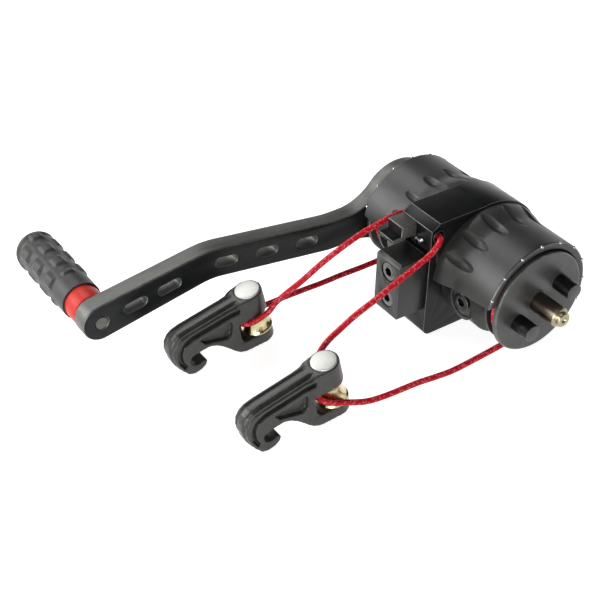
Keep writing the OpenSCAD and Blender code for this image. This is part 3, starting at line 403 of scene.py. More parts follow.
def piece(name, me, finishes, body, nodes=(), slot=None):
    """A finished mesh as an object that rides on a body and stands for CAD nodes."""
    o = scratch(me, name)
    index = np.zeros(len(me.polygons), np.int32)
    me.polygons.foreach_get("material_index", index)
    me.materials.clear()
    names = [finishes] if isinstance(finishes, str) else finishes
    for f in names:
        me.materials.append(FINISH[f])
    me.polygons.foreach_set("material_index", np.minimum(index, len(names) - 1))
    if body:
        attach(o, body)
    if nodes:
        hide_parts(*nodes)
    return o


def finish_node(finish, *names):
    """A CAD node that keeps its shape gets a finish."""
    for n in names:
        me = frame["nodes"][n].data
        me.materials.clear()
        me.materials.append(FINISH[finish])


def joined(name, meshes):
    """Several meshes as one."""
    whole = bpy.data.meshes.new(name)
    with editing(whole) as bm:
        for me in meshes:
            bm.from_mesh(me)
    shade(whole)
    return whole


def soften(points, radii, steps=40):
    """Rounds the inner corners of an open flat line, each by its own radius, with steps to a radian."""
    p = [np.array(q, float) for q in points]
    out = [p[0]]
    for a, b, c, r in zip(p, p[1:], p[2:], radii):
        u = (a - b) / np.linalg.norm(a - b)
        v = (c - b) / np.linalg.norm(c - b)
        half = math.acos(max(-1.0, min(1.0, float(u @ v)))) / 2
        cut = r / math.tan(half)
        mid = b + (u + v) / np.linalg.norm(u + v) * (r / math.sin(half))
        s = b + u * cut - mid
        e = b + v * cut - mid
        turn = math.atan2(s[0] * e[1] - s[1] * e[0], s @ e)
        for w in np.linspace(0, turn, max(3, int(steps * abs(turn)))):
            c_w, s_w = math.cos(w), math.sin(w)
            out.append(mid + np.array([s[0] * c_w - s[1] * s_w, s[0] * s_w + s[1] * c_w]))
    return out + [p[-1]]


def turned(name, profile, base, axis, segments=96, smooth=40):
    """A turned solid: profile is (radius, height) in mm from the axis's foot to its head."""
    axis = Vector(axis).normalized()
    u = axis.orthogonal().normalized()
    v = axis.cross(u)
    points, rings = [], []
    for r, h in profile:
        count = segments if r > 0 else 1
        rings.append(list(range(len(points), len(points) + count)))
        for k in range(count):
            c, s = polar(r * MM, 2 * math.pi * k / segments)
            points.append(base + axis * (h * MM) + u * c + v * s)
    faces = []
    for a, b in zip(rings, rings[1:]):
        for k in range(segments):
            q = (k + 1) % segments
            corners = [a[k % len(a)], a[q % len(a)], b[q % len(b)], b[k % len(b)]]
            corners = list(dict.fromkeys(corners))
            if len(corners) > 2:
                faces.append(corners)
    return mesh_of(name, points, faces, smooth)


def evaluated(o):
    """The object's mesh with its modifiers applied, and the object gone."""
    dg = bpy.context.evaluated_depsgraph_get()
    me = bpy.data.meshes.new_from_object(o.evaluated_get(dg), depsgraph=dg)
    data = o.data
    bpy.data.objects.remove(o)
    if isinstance(data, bpy.types.Curve):
        bpy.data.curves.remove(data)
    return me


def edged(me, width, angle, segments=3):
    """The mesh with its outer edges over that angle rounded, and the rounding given the second finish."""
    me.materials.clear()
    me.materials.append(None)
    me.materials.append(None)
    with editing(me) as bm:
        weight = bm.edges.layers.float.new("bevel_weight_edge")
        for e in bm.edges:
            if len(e.link_faces) == 2 and e.calc_face_angle_signed() > math.radians(angle):
                e[weight] = 1.0
    o = scratch(me)
    b = o.modifiers.new("edges", "BEVEL")
    b.width = width
    b.segments = segments
    b.limit_method = "WEIGHT"
    b.use_clamp_overlap = True
    b.miter_outer = "MITER_ARC"
    b.material = 1
    done = evaluated(o)
    shade(done, 35)
    return done


def merged_copy(node):
    """A copy of a CAD node's mesh, its triangles merged."""
    me = frame["nodes"][node].data.copy()
    with editing(me) as bm:
        bmesh.ops.remove_doubles(bm, verts=bm.verts, dist=CAD_WELD)
    return me


def rounded_copy(node, width, segments=3, angle=30):
    """A copy of a CAD node, its triangles joined into clean faces and its edges rounded."""
    me = merged_copy(node)
    flat = math.radians(0.6)
    with editing(me) as bm:
        bmesh.ops.dissolve_limit(bm, angle_limit=flat, verts=bm.verts, edges=bm.edges)
    return edged(me, width, angle, segments)


def slab(name, outline, holes, x0, x1, bevel):
    """A plate across the shaft: outline and holes are (y, z) in mm, with rounded edges all round."""
    cu = bpy.data.curves.new(name, "CURVE")
    cu.dimensions = "2D"
    cu.fill_mode = "BOTH"
    cu.extrude = abs(x1 - x0) / 2 * MM - bevel
    cu.bevel_depth = bevel
    cu.bevel_resolution = 3
    cu.offset = -bevel
    for loop in [outline, *holes]:
        sp = cu.splines.new("POLY")
        sp.points.add(len(loop) - 1)
        sp.use_cyclic_u = True
        for q, (y, z) in zip(sp.points, loop):
            q.co = (y * MM, z * MM, 0, 1)
    me = evaluated(scratch(cu, name))
    turn = Matrix(((0, 0, 1), (1, 0, 0), (0, 1, 0))).to_4x4()
    me.transform(Matrix.Translation(at((x0 + x1) / 2, 0, 0)) @ turn)
    tidy_mesh(me, 35)
    return me


def circle(centre, r, n=48):
    """Points round a flat place."""
    return [centre + polar(r, a) for a in np.linspace(0, 2 * math.pi, n + 1)[:-1]]


def ease(t):
    """Smooth step from 0 to 1."""
    t = np.clip(t, 0.0, 1.0)
    return t * t * (3 - 2 * t)


# Geometry nodes


def new_tree(name, floats):
    """A geometry tree with a mesh input, the named sizes and a finish."""
    g = bpy.data.node_groups.new(name, "GeometryNodeTree")
    g.interface.new_socket("Points", in_out="INPUT", socket_type="NodeSocketGeometry")
    for label in floats:
        g.interface.new_socket(label, in_out="INPUT", socket_type="NodeSocketFloat")
    g.interface.new_socket("Finish", in_out="INPUT", socket_type="NodeSocketMaterial")
    g.interface.new_socket("Made", in_out="OUTPUT", socket_type="NodeSocketGeometry")
    return g, add(g, "NodeGroupInput").outputs


def end_tree(g, geometry, finish):
    """Realize Instances, smooth shading and Set Material, then the output."""
    real = add(g, "GeometryNodeRealizeInstances", {"Geometry": geometry})
    smooth = add(g, "GeometryNodeSetShadeSmooth", {"Geometry": real})
    done = add(g, "GeometryNodeSetMaterial", {"Geometry": smooth, "Material": finish})
    add(g, "NodeGroupOutput", {"Made": done})
    return g


def stud_tree():
    """Geometry nodes: a domed stud on every point."""
    g, given = new_tree("domed_studs", ("Radius", "Height"))
    ball = add(g, "GeometryNodeMeshUVSphere", {"Segments": 20, "Rings": 12, "Radius": 1.0})
    squat = add(g, "ShaderNodeCombineXYZ", (given["Height"], given["Radius"], given["Radius"]))
    dome = add(g, "GeometryNodeTransform", {"Geometry": ball, "Scale": squat})
    placed = add(g, "GeometryNodeInstanceOnPoints", {"Points": given["Points"], "Instance": dome})
    return end_tree(g, placed, given["Finish"])


def spring_tree():
    """Geometry nodes: a coil of round wire, upright on the origin."""
    g, given = new_tree("wire_coil", ("Radius", "Wire", "Turns", "Length"))
    coil = {"Resolution": 32, "Rotations": given["Turns"], "Height": given["Length"]}
    coil.update({"Start Radius": given["Radius"], "End Radius": given["Radius"]})
    coil = add(g, "GeometryNodeCurveSpiral", coil)
    ring = add(g, "GeometryNodeCurvePrimitiveCircle", {"Resolution": 12, "Radius": given["Wire"]})
    wire = {"Curve": coil, "Profile Curve": ring, "Fill Caps": True}
    return end_tree(g, add(g, "GeometryNodeCurveToMesh", wire), given["Finish"])


def scattered(name, spots, tree, values):
    """The mesh that a tree makes from the given points."""
    o = scratch(raw_mesh(name, spots), name + "_points")
    mod = o.modifiers.new("nodes", "NODES")
    mod.node_group = tree
    for item in tree.interface.items_tree:
        if item.in_out == "INPUT" and item.name in values:
            mod[item.identifier] = values[item.name]
    return evaluated(o)


# Cord


def slide(a, b, start, end, s):
    """From a to b as s runs from start to end."""
    return ((end - s) * a + (s - start) * b) / (end - start)


def runs(points):
    """How far along its line each point lies."""
    return np.concatenate([[0], np.cumsum(np.linalg.norm(np.diff(points, axis=0), axis=1))])


def through(points, step):
    """Even points along a smooth curve through the given ones, all in mm."""
    p = [np.array(q, float) for q in points]
    p = [2 * p[0] - p[1]] + p + [2 * p[-1] - p[-2]]
    fine = []
    for a, b, c, d in zip(p, p[1:], p[2:], p[3:]):
        t = [0.0]
        for u, v in ((a, b), (b, c), (c, d)):
            t.append(t[-1] + max(np.linalg.norm(v - u), 1e-6) ** 0.5)
        for s in np.linspace(t[1], t[2], 24, endpoint=False):
            ab = slide(a, b, t[0], t[1], s)
            bc = slide(b, c, t[1], t[2], s)
            cd = slide(c, d, t[2], t[3], s)
            abc = slide(ab, bc, t[0], t[2], s)
            bcd = slide(bc, cd, t[1], t[3], s)
            fine.append(slide(abc, bcd, t[1], t[2], s))
    fine.append(p[-2])
    fine = np.array(fine)
    run = runs(fine)
    even = np.linspace(0, run[-1], max(8, int(run[-1] / step)) + 1)
    return np.stack([np.interp(even, run, fine[:, k]) for k in range(3)], axis=1)


def braided_tube(name, path, radius, relief, sides=32):
    """A cord's mesh along a path in mm, the braid's crossing bundles in relief, with a UV map along it."""
    n = len(path)
    tangent = np.gradient(path, axis=0)
    tangent /= np.linalg.norm(tangent, axis=1)[:, None]
    u = np.cross(tangent[0], [0.3, 0.2, 1.0])
    run = runs(path)
    theta = np.arange(sides) / sides
    cosine = np.cos(2 * np.pi * theta)[:, None]
    sine = np.sin(2 * np.pi * theta)[:, None]
    points = np.empty((n, sides, 3))
    for i in range(n):
        u = u - (u @ tangent[i]) * tangent[i]
        u /= np.linalg.norm(u)
        v = np.cross(tangent[i], u)
        left = BRAID_STRANDS * (theta + run[i] / BRAID_LAY)
        right = BRAID_STRANDS * (theta - run[i] / BRAID_LAY)
        over = np.mod(np.floor(left) + np.floor(right), 2)
        bow = np.abs(np.mod(np.where(over < 0.5, left, right), 1) - 0.5)
        # A bundle's middle stands 0.4 of the relief above the cord's radius, and its edges lie below
        r = radius - relief + 1.4 * relief * (1 - 4 * bow**2)
        points[i] = path[i] + r[:, None] * (cosine * u + sine * v)
    verts = [at(*q) for q in points.reshape(-1, 3)] + [at(*path[0]), at(*path[-1])]
    faces = net(n, sides)
    uvs = []
    for i in range(n - 1):
        for k in range(sides):
            for turn, ring in ((k, i), (k + 1, i), (k + 1, i + 1), (k, i + 1)):
                uvs.append((turn / sides, run[ring] * MM))
    last = (n - 1) * sides
    for k in range(sides):
        q = (k + 1) % sides
        faces.append((n * sides, q, k))
        faces.append((n * sides + 1, last + k, last + q))
        uvs += [(0, 0)] * 3 + [(0, run[-1] * MM)] * 3
    me = raw_mesh(name, verts, faces)
    layer = me.uv_layers.new(name="cord")
    layer.data.foreach_set("uv", np.array(uvs, np.float32).ravel())
    shade(me, 80)
    return me, run[-1]


def hook_place(sign, v, u, w):
    """A place in a hook's own frame, in mm about the shaft: v across, u towards the claw, w up the pin."""
    c, s = math.cos(HOOK_TILT), math.sin(HOOK_TILT)
    return (HOOK_PIN.x + v) * sign, HOOK_PIN.y - u * c - w * s, HOOK_PIN.z - u * s + w * c


# The bend round the roller: its radius, and its heights on the pin and its angles where it starts and ends
BEND_R = 7.35
BEND_W = (2.55, -3.75)
BEND_TURN = (-60, 80)


def loop_points(sign):
    """The cord's bend round the roller."""
    out = []
    for turn, w in zip(np.linspace(*BEND_TURN, 15), np.linspace(*BEND_W, 15)):
        u, v = polar(BEND_R, math.radians(turn))
        out.append(hook_place(sign, v, u, w))
    return out


# Each cord from the nose to its hook, and from its hook to the reel
ROUTES = {
    "near": (
        [
            (11.2, -29.6, 25.6), (13.2, -31, 25.4), (14, -33.6, 23.2), (14.2, -37, 20.6),
            (14.5, -43, 18.2), (15, -54, 14.4), (15.4, -66, 9.8), (15.4, -78, 5.2),
            (15.5, -86.4, 1), (15.8, -92, -1.8), (16.6, -96.4, -4.8), (18.2, -99.6, -7.8),
        ],
        [
            (39.6, -88.6, -20.6), (40.6, -80, -21.2), (41.2, -71, -21.2), (41.5, -62, -21.4),
            (41.7, -52, -22.6), (41.8, -43, -23.4), (41.8, -30, -22.8), (41.8, -17.6, -21.8),
            (41.85, -5.4, -20.4), (41.85, -2.7, -20.4),
        ],
    ),
    "far": (
        [
            (-11.2, -29.6, 25.6), (-13.2, -31, 25.5), (-13.9, -34.8, 25.2), (-14, -40, 24.6),
            (-14, -45, 23.6), (-14.4, -51, 22.2), (-15.3, -62, 17.8), (-16.6, -72.6, 12),
            (-18, -83.6, 4.7), (-19.2, -91, 0.2), (-20, -95.6, -3.2), (-20.4, -98.8, -6.8),
        ],
        [
            (-38.6, -88, -18.8), (-39.4, -79, -19.4), (-40.4, -67, -20.4), (-41.2, -55, -21.4),
            (-41.6, -42.6, -21.6), (-41.8, -29, -22), (-41.8, -17, -21.6), (-41.85, -5.4, -20.4),
            (-41.85, -2.7, -20.4),
        ],
    ),
}
# The winding: radius of its outer turn, step from turn to turn, how far the outer turn swells, and turns
WIND_R = 20.4
WIND_STEP = 3.0
WIND_SWELL = 1.1
WIND_TURNS = 2

# Sizes and colours in the panel


def length(label, about, mm, low, high):
    """A size in the panel."""
    return bpy.props.FloatProperty(name=label, description=about, subtype="DISTANCE", unit="LENGTH",
                                   default=mm * MM, min=low * MM, max=high * MM, precision=5)


def tint(label, about, code):
    """A colour in the panel."""
    return bpy.props.FloatVectorProperty(name=label, description=about, subtype="COLOR", size=3,
                                         default=linear(code)[:3], min=0, max=1)


class WinchSizes(bpy.types.PropertyGroup):
    """Sizes that a user would change"""

    cord: length("Cord", "Diameter of the cord", 2.7, 2, 4)
    relief: length("Braid relief", "Height of the braid's bundles", 0.09, 0, 0.3)
    edge: length("Edge rounding", "Rounding of machined edges", 0.4, 0.1, 1.5)
    arm_edge: length("Arm edge", "Rounding of the crank arm's edges", 0.7, 0.1, 2)
    flute: length("Flutes", "Depth of the covers' flutes", 1.35, 0.3, 1.6)
    pad: length("Grip pads", "Height of the grip's pads", 0.9, 0.2, 2)
    stud: length("Rim studs", "Radius of the studs on the rims", 0.75, 0.3, 1.5)
    groove: length("Hook grooves", "Depth of the grooves along a hook's back", 1.0, 0, 1.5)


class WinchLook(bpy.types.PropertyGroup):
    """Colours that a user would change"""

    cover_dark: tint("Cover, dark", "Darker tone of the covers", "#252625")
    cover_light: tint("Cover, light", "Lighter tone of the covers", "#393a38")
    body_dark: tint("Body, dark", "Darker tone of the centre body", "#0e0f0f")
    body_light: tint("Body, light", "Lighter tone of the centre body", "#171818")
    # The pale tones painted on rounded edges as a highlight
    edge_glint_dark: tint("Edge, dark", "Darker tone of worn edges", "#4a4b4a")
    edge_glint_light: tint("Edge, light", "Lighter tone of worn edges", "#7a7b78")
    arm_dark: tint("Arm, dark", "Darker tone of the crank arm's faces", "#131516")
    arm_light: tint("Arm, light", "Lighter tone of the crank arm's faces", "#1d1f20")
    rim_dark: tint("Arm rim, dark", "Darker tone of the crank arm's edge", "#4c4d4a")
    rim_light: tint("Arm rim, light", "Lighter tone of the crank arm's edge", "#70706c")
    hook_dark: tint("Hook, dark", "Darker tone of the hooks", "#1e1f1d")
    hook_light: tint("Hook, light", "Lighter tone of the hooks", "#3c3d39")
    grip_dark: tint("Grip, dark", "Darker tone of the grip", "#292a29")
    grip_light: tint("Grip, light", "Lighter tone of the grip", "#464745")
    cord_red: tint("Cord", "The cord's yarn", "#d60d24")
    cord_shade: tint("Cord, shade", "Between the cord's bundles", "#8e0818")
    cord_glint_fleck: tint("Cord, fleck", "Bundles that catch the light", "#ee6a76")


def aimed(o, place, goal):
    """Sets a camera or a lamp at a place and turns it to its goal."""
    o.location = place
    o.rotation_mode = "QUATERNION"
    o.rotation_quaternion = (goal - place).to_track_quat("-Z", "Y")


class WINCH_OT_stage(bpy.types.Operator):
    """Camera, floor, lights and background"""

    bl_idname = "winch.stage"
    bl_label = "Stage"

    # The camera's place, what it looks at, its roll and its lens, which give the photograph's view
    eye = Vector((354.8, -303.25, 323.0)) * MM
    aim = Vector((24.81, -72.34, 19.49)) * MM
    roll = Quaternion((0, 0, 1), math.radians(0.98))
    lens_mm = 76.22
    # The round paper floor's radius and its wall's height, in metres, and the paper's and the room's glow
    room_r = 5.0
    wall_h = 1.8
    paper_glow = 0.82
    room_glow = 0.12
    # Soft boxes: the key from the hooks' far side, a high one from the crank's side that the pins mirror,
    # and a low fill from the bare shaft end. Place and size in metres, power in watts.
    lamps = (
        ("key", (-0.68, -0.82, 0.46), 0.7, 9.5),
        ("side", (-0.8, -0.06, 0.9), 0.6, 4.5),
        ("fill", (0.9, -0.95, 0.24), 0.6, 10.0),
    )

    def camera(self, scene):
        """The photograph's viewing angle."""
        cam = bpy.data.cameras.new("camera")
        cam.lens = self.lens_mm
        cam.sensor_width = 36
        cam.clip_start = 0.01
        cam.clip_end = 20
        scene.camera = scratch(cam, "camera")
        aimed(scene.camera, self.eye, self.aim)
        scene.camera.rotation_quaternion = scene.camera.rotation_quaternion @ self.roll

    def paper(self):
        """Pale matt paper that keeps the shadow, and is white where camera, metal or glass looks at it."""
        m, t = new_finish("studio_paper")
        ray = add(t, "ShaderNodeLightPath").outputs
        matt = add(t, "ShaderNodeBsdfDiffuse", {"Color": linear("#f2f2f2")})
        glow = add(t, "ShaderNodeEmission", {"Color": linear("#ffffff"), "Strength": self.paper_glow})
        none = add(t, "ShaderNodeEmission", {"Strength": 0.0})
        seen = add(t, MATH, (ray["Is Camera Ray"], ray["Is Transmission Ray"]), operation="MAXIMUM")
        seen = add(t, MATH, (seen, ray["Is Glossy Ray"]), operation="MAXIMUM")
        extra = add(t, "ShaderNodeMixShader", (seen, none, glow))
        both = add(t, "ShaderNodeAddShader", (matt, extra))
        add(t, "ShaderNodeOutputMaterial", {"Surface": both})
        return m

    def surround(self, scene):
        """A round paper floor with a low wall about it, under a dim even room."""
        paper = self.paper()
        rim = circle((0, 0), self.room_r, 64)
        low = [(x, y, FLOOR_Z) for x, y in rim]
        high = [(x, y, FLOOR_Z + self.wall_h) for x, y in rim]
        for name, points, faces in (
            ("floor", low, [tuple(range(len(rim)))]),
            ("backdrop", low + high, net(2, len(rim))),
        ):
            me = raw_mesh(name, points, faces)
            me.materials.append(paper)
            scratch(me, name)
        scene.world = bpy.data.worlds.new("studio")
        scene.world.use_nodes = True
        t = scene.world.node_tree
        t.nodes.clear()
        room = add(t, "ShaderNodeBackground", {"Color": linear("#ffffff"), "Strength": self.room_glow})
        add(t, "ShaderNodeOutputWorld", {"Surface": room})

    def execute(self, context):
        scene = context.scene
        scene.view_settings.view_transform = "Standard"
        self.camera(scene)
        self.surround(scene)
        for name, place, size, power in self.lamps:
            lamp = bpy.data.lights.new(name, "AREA")
            lamp.energy = power
            lamp.shape = "SQUARE"
            lamp.size = size
            aimed(scratch(lamp, name), Vector(place), Vector())
        return {"FINISHED"}


class WINCH_OT_cords(bpy.types.Operator):
    """The red cord: two doubled stretches, the windings and the stretch through the nose"""

    bl_idname = "winch.cords"
    bl_label = "Cords"

    # Length of a step along a stretch and along a winding, and how much thinner the cord is in the nose
    step = 0.3
    wound_step = 0.4
    nose_slack = 0.02
    # Parts of a turn after which the outer turn swells and drops, and in which it does so
    swell_at, swell_in = 0.4, 0.3
    drop_at, drop_in = 0.78, 0.22
    turn_points = 24

    def tube(self, name, path, slack=0.0):
        """The cord's mesh along a path, and its length in mm."""
        size = bpy.context.scene.winch_sizes
        return braided_tube(name, path, size.cord / MM / 2 - slack, size.relief / MM)

    def stretch(self, name, sign, diameter):
        """From the nose round the hook's roller and back to the reel."""
        upper, lower = ROUTES[name]
        path = through(upper + loop_points(sign) + lower, self.step)
        me, run = self.tube(name + "_cord", path)
        o = piece(name + "_cord", me, "cord", None)
        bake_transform(o)
        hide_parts(name + "_upper_cord", name + "_cord_bend", name + "_lower_cord")
        places = [tuple(at(*p)) for p in path[::4]] + [tuple(at(*path[-1]))]
        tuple(places[0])

    def winding(self, name, sign):
        """The turns on the reel: the outer one swells to the front, then drops inside the incoming cord."""
        x = sign * abs(ROUTES[name][1][-1][0])
        turns = [ROUTES[name][1][-1]]
        for i in range(self.turn_points * WIND_TURNS + 1):
            part = i / self.turn_points
            a = math.radians(270) + 2 * math.pi * part
            dropped = ease((part - self.drop_at) / self.drop_in)
            swell = WIND_SWELL * ease((part - self.swell_at) / self.swell_in) * (1 - dropped)
            drop = WIND_STEP * dropped + WIND_STEP * max(part - 1, 0)
            turns.append((x, *polar(WIND_R + swell - drop, a)))
        me, _ = self.tube(name + "_wound_cord", through(turns, self.wound_step))
        piece(name + "_wound_cord", me, "cord", "crank", [name + "_winding"], "red_cord")

    def execute(self, context):
        for name, sign in SIDES.items():
            self.stretch(name, sign, context.scene.winch_sizes.cord)
            self.winding(name, sign)
        start = ROUTES["near"][0][0]
        across = [(x, *start[1:]) for x in np.linspace(-start[0], start[0], 5)]
        me, _ = self.tube("cord_through_nose", through(across, self.wound_step), self.nose_slack)
        piece("cord_through_nose", me, "cord", "winch_body", ["nose_cord"], "red_cord")
        return {"FINISHED"}


class WINCH_OT_body(bpy.types.Operator):
    """Centre body, mount block, jaw, bearing housings and their screws"""

    bl_idname = "winch.body"
    bl_label = "Centre body"

    # Height above which the jaw's top is painted a lit grey, and how square to an axis a face painted lit
    # grey lies
    jaw_top = 26.0
    jaw_square = 0.9
    # Socket screws: radius of a head and of its hexagon, the depth below which the hexagon gets painted
    # shade, and the rounding of the head
    head_r = 4.25
    hexagon_r = 2.55
    hexagon_in = 0.3
    head_edge = 0.25
    # The plunger's spring
    wire = 0.6
    coils = 4.0
    # Set screw: pitch and depth of its thread, its first crest, and the depth of its socket
    pitch = 0.8
    thread = 0.42
    first_crest = 0.35
    socket = 1.1

    def jaw(self, width):
        """The upper jaw: black lip and front, with its top and near flank painted a lighter grey as painted
        light, where the lamps fall on them.
        """
        me = rounded_copy("upper_jaw", width)

        def rule(mid, normal):
            # Top and near flank take the grey brushed finish as painted light
            on_top = normal.z > self.jaw_square and mid.z > self.jaw_top
            return 2 if on_top or normal.x > self.jaw_square else 0

        sort_faces(me, rule, keep=1)
        piece("jaw_casting", me, ("body", "edge", "arm_rim"), "winch_body", ["upper_jaw"], "body_black")

    def screws(self):
        """Socket screws: bright heads, with painted shade in the hexagon, whose faces take the dark oxide
        finish.
        """
        me = rounded_copy("block_screws", self.head_edge * MM, 2, 50)
        face = span("block_screws", 1)[0]
        low, high = span("block_screws", 2)
        spread = (high - low) / 2 - self.head_r

        def rule(mid, normal):
            off = math.hypot(mid.x, abs(mid.z - (low + high) / 2) - spread)
            inside = mid.y > face + self.hexagon_in or normal.y > -0.5
            return 1 if off < self.hexagon_r and inside else 0
        # Faces inside the hexagon get the dark oxide finish as painted shade

        sort_faces(me, rule)
        piece("socket_screws", me, ("screw", "oxide"), "winch_body", ["block_screws"], "bright_steel")

    def set_screw(self):
        """The threaded end that stands in the slot, with its hexagon socket."""
        tip, root = span("slot_screw", 1)
        z = sum(span("slot_screw", 2)) / 2
        r = span("slot_screw", 2)[1] - z
        crest = r - 0.05
        profile = [(0, self.socket), (r * 0.5, self.socket), (r * 0.5, 0.0), (r - 0.5, 0.0)]
        profile.append((crest, self.first_crest))
        h = self.first_crest
        while h + self.pitch < root - tip:
            profile += [(r - self.thread, h + self.pitch * 0.5), (crest, h + self.pitch)]
            h += self.pitch
        profile += [(r - 0.3, root - tip), (0, root - tip)]
        me = turned("set_screw", profile, at(0, tip, z), (0, 1, 0), 48, 60)
        # The socket's faces get the dark oxide finish as painted shade
        sort_faces(me, lambda mid, n: 1 if math.hypot(mid.x, mid.z - z) < r * 0.55 else 0)
        piece("set_screw", me, ("screw", "oxide"), "winch_body", ["slot_screw"], "bright_steel")

    def spring(self):
        """The plunger's coil spring, behind the plug."""
        low, high = (Vector(v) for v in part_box("plunger_spring"))
        wire = self.wire * MM
        sizes = {"Radius": (high.x - low.x - wire) / 2, "Wire": wire / 2, "Turns": self.coils}
        sizes.update({"Length": high.y - low.y - wire, "Finish": FINISH["spring"]})
        me = scattered("plunger_coil", [(0, 0, 0)], spring_tree(), sizes)
        foot = Vector(((low.x + high.x) / 2, low.y + wire / 2, (low.z + high.z) / 2))
        me.transform(Matrix.Translation(foot) @ Matrix.Rotation(math.radians(-90), 4, "X"))
        tidy_mesh(me, 60)
        o = piece("plunger_coil", me, "spring", None, ["plunger_spring"], "spring_steel")
        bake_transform(o)

    def execute(self, context):
        e = context.scene.winch_sizes.edge
        # Rounded edges take the pale edge finish, a painted highlight
        painted_glint = "edge"
        for name, node, finishes, rounding, slot in (
            ("body_casting", "centre_body", ("body", painted_glint), (e, 3, 30), "body_black"),
            ("block_casting", "mount_block", ("block", painted_glint), (e * 0.8, 3, 30), "body_black"),
            ("near_bearing_case", "near_housing", ("housing", painted_glint), (e * 0.6, 2, 40), "housing_grey"),
            ("far_bearing_case", "far_housing", ("housing", painted_glint), (e * 0.6, 2, 40), "housing_grey"),
            ("plug_head", "plunger_plug", ("oxide", painted_glint), (e * 0.5, 2, 40), "dark_steel"),
            ("cord_bushes", "fairleads", "bushing", (e * 0.6, 3, 40), "bush_plastic"),
        ):
            piece(name, rounded_copy(node, *rounding), finishes, "winch_body", [node], slot)
        self.jaw(e * 0.8)
        self.screws()
        self.set_screw()
        self.spring()
        finish_node("screw", "housing_screws")
        finish_node("bush", "shaft_bushes")
        finish_node("oxide", "ratchet_wheel")
        finish_node("spring", "retaining_ring")
        finish_node("plunger", "pawl_plunger")
        return {"FINISHED"}


class WINCH_OT_covers(bpy.types.Operator):
    """The two fluted covers and the studs on their rims"""

    bl_idname = "winch.covers"
    bl_label = "Covers"

    root_x = 10.34
    rim_x = 45.0
    root_r = 31.0
    rim_r = 29.0
    lip_r = 25.6
    lip_mid = 27.2
    wall = 2.0
    # Where the wall starts to step in, and in what length
    step_x = 12.6
    step_len = 11.0
    # Edges of the opening: the skirt's at the back, and the front's height at its foot with its rise
    skirt_z = -20.0
    front_x = 10.3
    front_foot = 2.4
    front_rise = 3.6 / 34.7
    # Flutes: how many to a full round, the first one's angle, their place, half length and cutter,
    # the easing of their edges, and the last one before the opening
    flutes = 16
    flute_turn = 13.0
    flute_x = 20.5
    flute_half = 8.5
    flute_r = 3.0
    flute_soft = 0.3
    last_flute = 6
    # Studs: their circle, how far in from the rim they sit, and their room above the opening
    studs_r = 28.55
    stud_in = 0.25
    stud_room = 1.6
    # Rounding of the wall's edges, the band on the rim painted pale as a highlight, and the steps round the
    # wall
    edge = 0.3
    painted_glint_in = 0.75
    rows = 360

    def radius(self, x):
        """The wall steps in from the band's radius to the rim's."""
        return self.root_r - (self.root_r - self.rim_r) * float(ease((x - self.step_x) / self.step_len))

    def front_z(self, x):
        """Height of the opening's front edge."""
        return self.front_foot + self.front_rise * (x - self.front_x)

    def flute(self, x, a, r, depth):
        """Depth of a flute at a place on the wall, its edge a little eased."""
        bow = 1 - ((x - self.flute_x) / self.flute_half) ** 2
        step = 360 / self.flutes
        turn = (math.degrees(a) - self.flute_turn) / step
        across = abs(turn - round(turn)) * math.radians(step) * r
        if bow <= 0 or across >= self.flute_r or round(turn) > self.last_flute:
            return 0.0
        cut = math.sqrt(self.flute_r**2 - across**2) - self.flute_r + depth * bow
        return cut * float(ease(cut / self.flute_soft)) if cut > 0 else 0.0

    def profile(self):
        """The wall's profile as (x, radius): outer side, rounded lip and inner side."""
        rim, r, lip = self.rim_x, self.rim_r, self.lip_r
        outer = [(x, self.radius(x)) for x in np.linspace(self.root_x, rim - 0.7, 120)]
        corner = [(rim - 0.45, r - 0.07), (rim - 0.2, r - 0.3), (rim, r - 0.7), (rim, self.lip_mid)]
        corner += [(rim, lip + 0.3), (rim - 0.2, lip), (rim - 1.4, lip), (rim - 1.6, lip + 0.2)]
        corner += [(rim - 1.6, r - self.wall)]
        inner = [(x, self.radius(x) - self.wall) for x in np.linspace(rim - 2, self.root_x, 24)]
        return outer, corner + inner

    def cover(self, name, sign, depth):
        """The profile, swept from the opening's front edge over the top to the skirt's edge."""
        outer, rest = self.profile()
        columns = len(outer + rest)
        verts = []
        for i in range(self.rows + 1):
            for j, (x, r) in enumerate(outer + rest):
                front = math.pi - math.asin(self.front_z(x) / r)
                back = math.asin(self.skirt_z / r)
                a = front + (back - front) * i / self.rows
                if j < len(outer):
                    r -= self.flute(x, a, r, depth)
                verts.append(at(sign * x, *polar(r, a)))
        faces = net(self.rows + 1, columns)
        faces.append(tuple(range(columns)))
        faces.append(tuple(self.rows * columns + j for j in reversed(range(columns))))
        me = edged(mesh_of(name, verts, faces, 40), self.edge * MM, 50, 2)

        # The rim's outer band takes the pale edge finish as a painted highlight
        def rule(mid, normal):
            on_rim = abs(mid.x) > self.rim_x - 0.5 and math.hypot(mid.y, mid.z) > self.rim_r - self.painted_glint_in
            return 1 if on_rim else 0

        sort_faces(me, rule, keep=1)
        return me

    def stud_spots(self, sign):
        """Places between the flutes, on the rim's outer corner, above the opening and the skirt."""
        spots = []
        for k in range(self.flutes):
            y, z = polar(self.studs_r, math.radians(self.flute_turn + 360 / self.flutes * (k + 0.5)))
            edge = self.front_z(self.rim_x) if y < 0 else self.skirt_z
            if z > edge + self.stud_room:
                spots.append(at(sign * (self.rim_x - self.stud_in), y, z))
        return spots

    def execute(self, context):
        size = context.scene.winch_sizes
        tree = stud_tree()
        values = {"Radius": size.stud, "Height": size.stud * 0.9, "Finish": FINISH["stud"]}
        for side, sign in SIDES.items():
            me = self.cover(side + "_cover_shell", sign, size.flute / MM)
            piece(side + "_cover_shell", me, ("cover", "edge"), "winch_body", [side + "_cover"],
                  "cover_black")
            me = scattered(side + "_studs", self.stud_spots(sign), tree, values)
            piece(side + "_studs", me, "stud", "winch_body", [side + "_rim_studs"], "bright_steel")
        return {"FINISHED"}


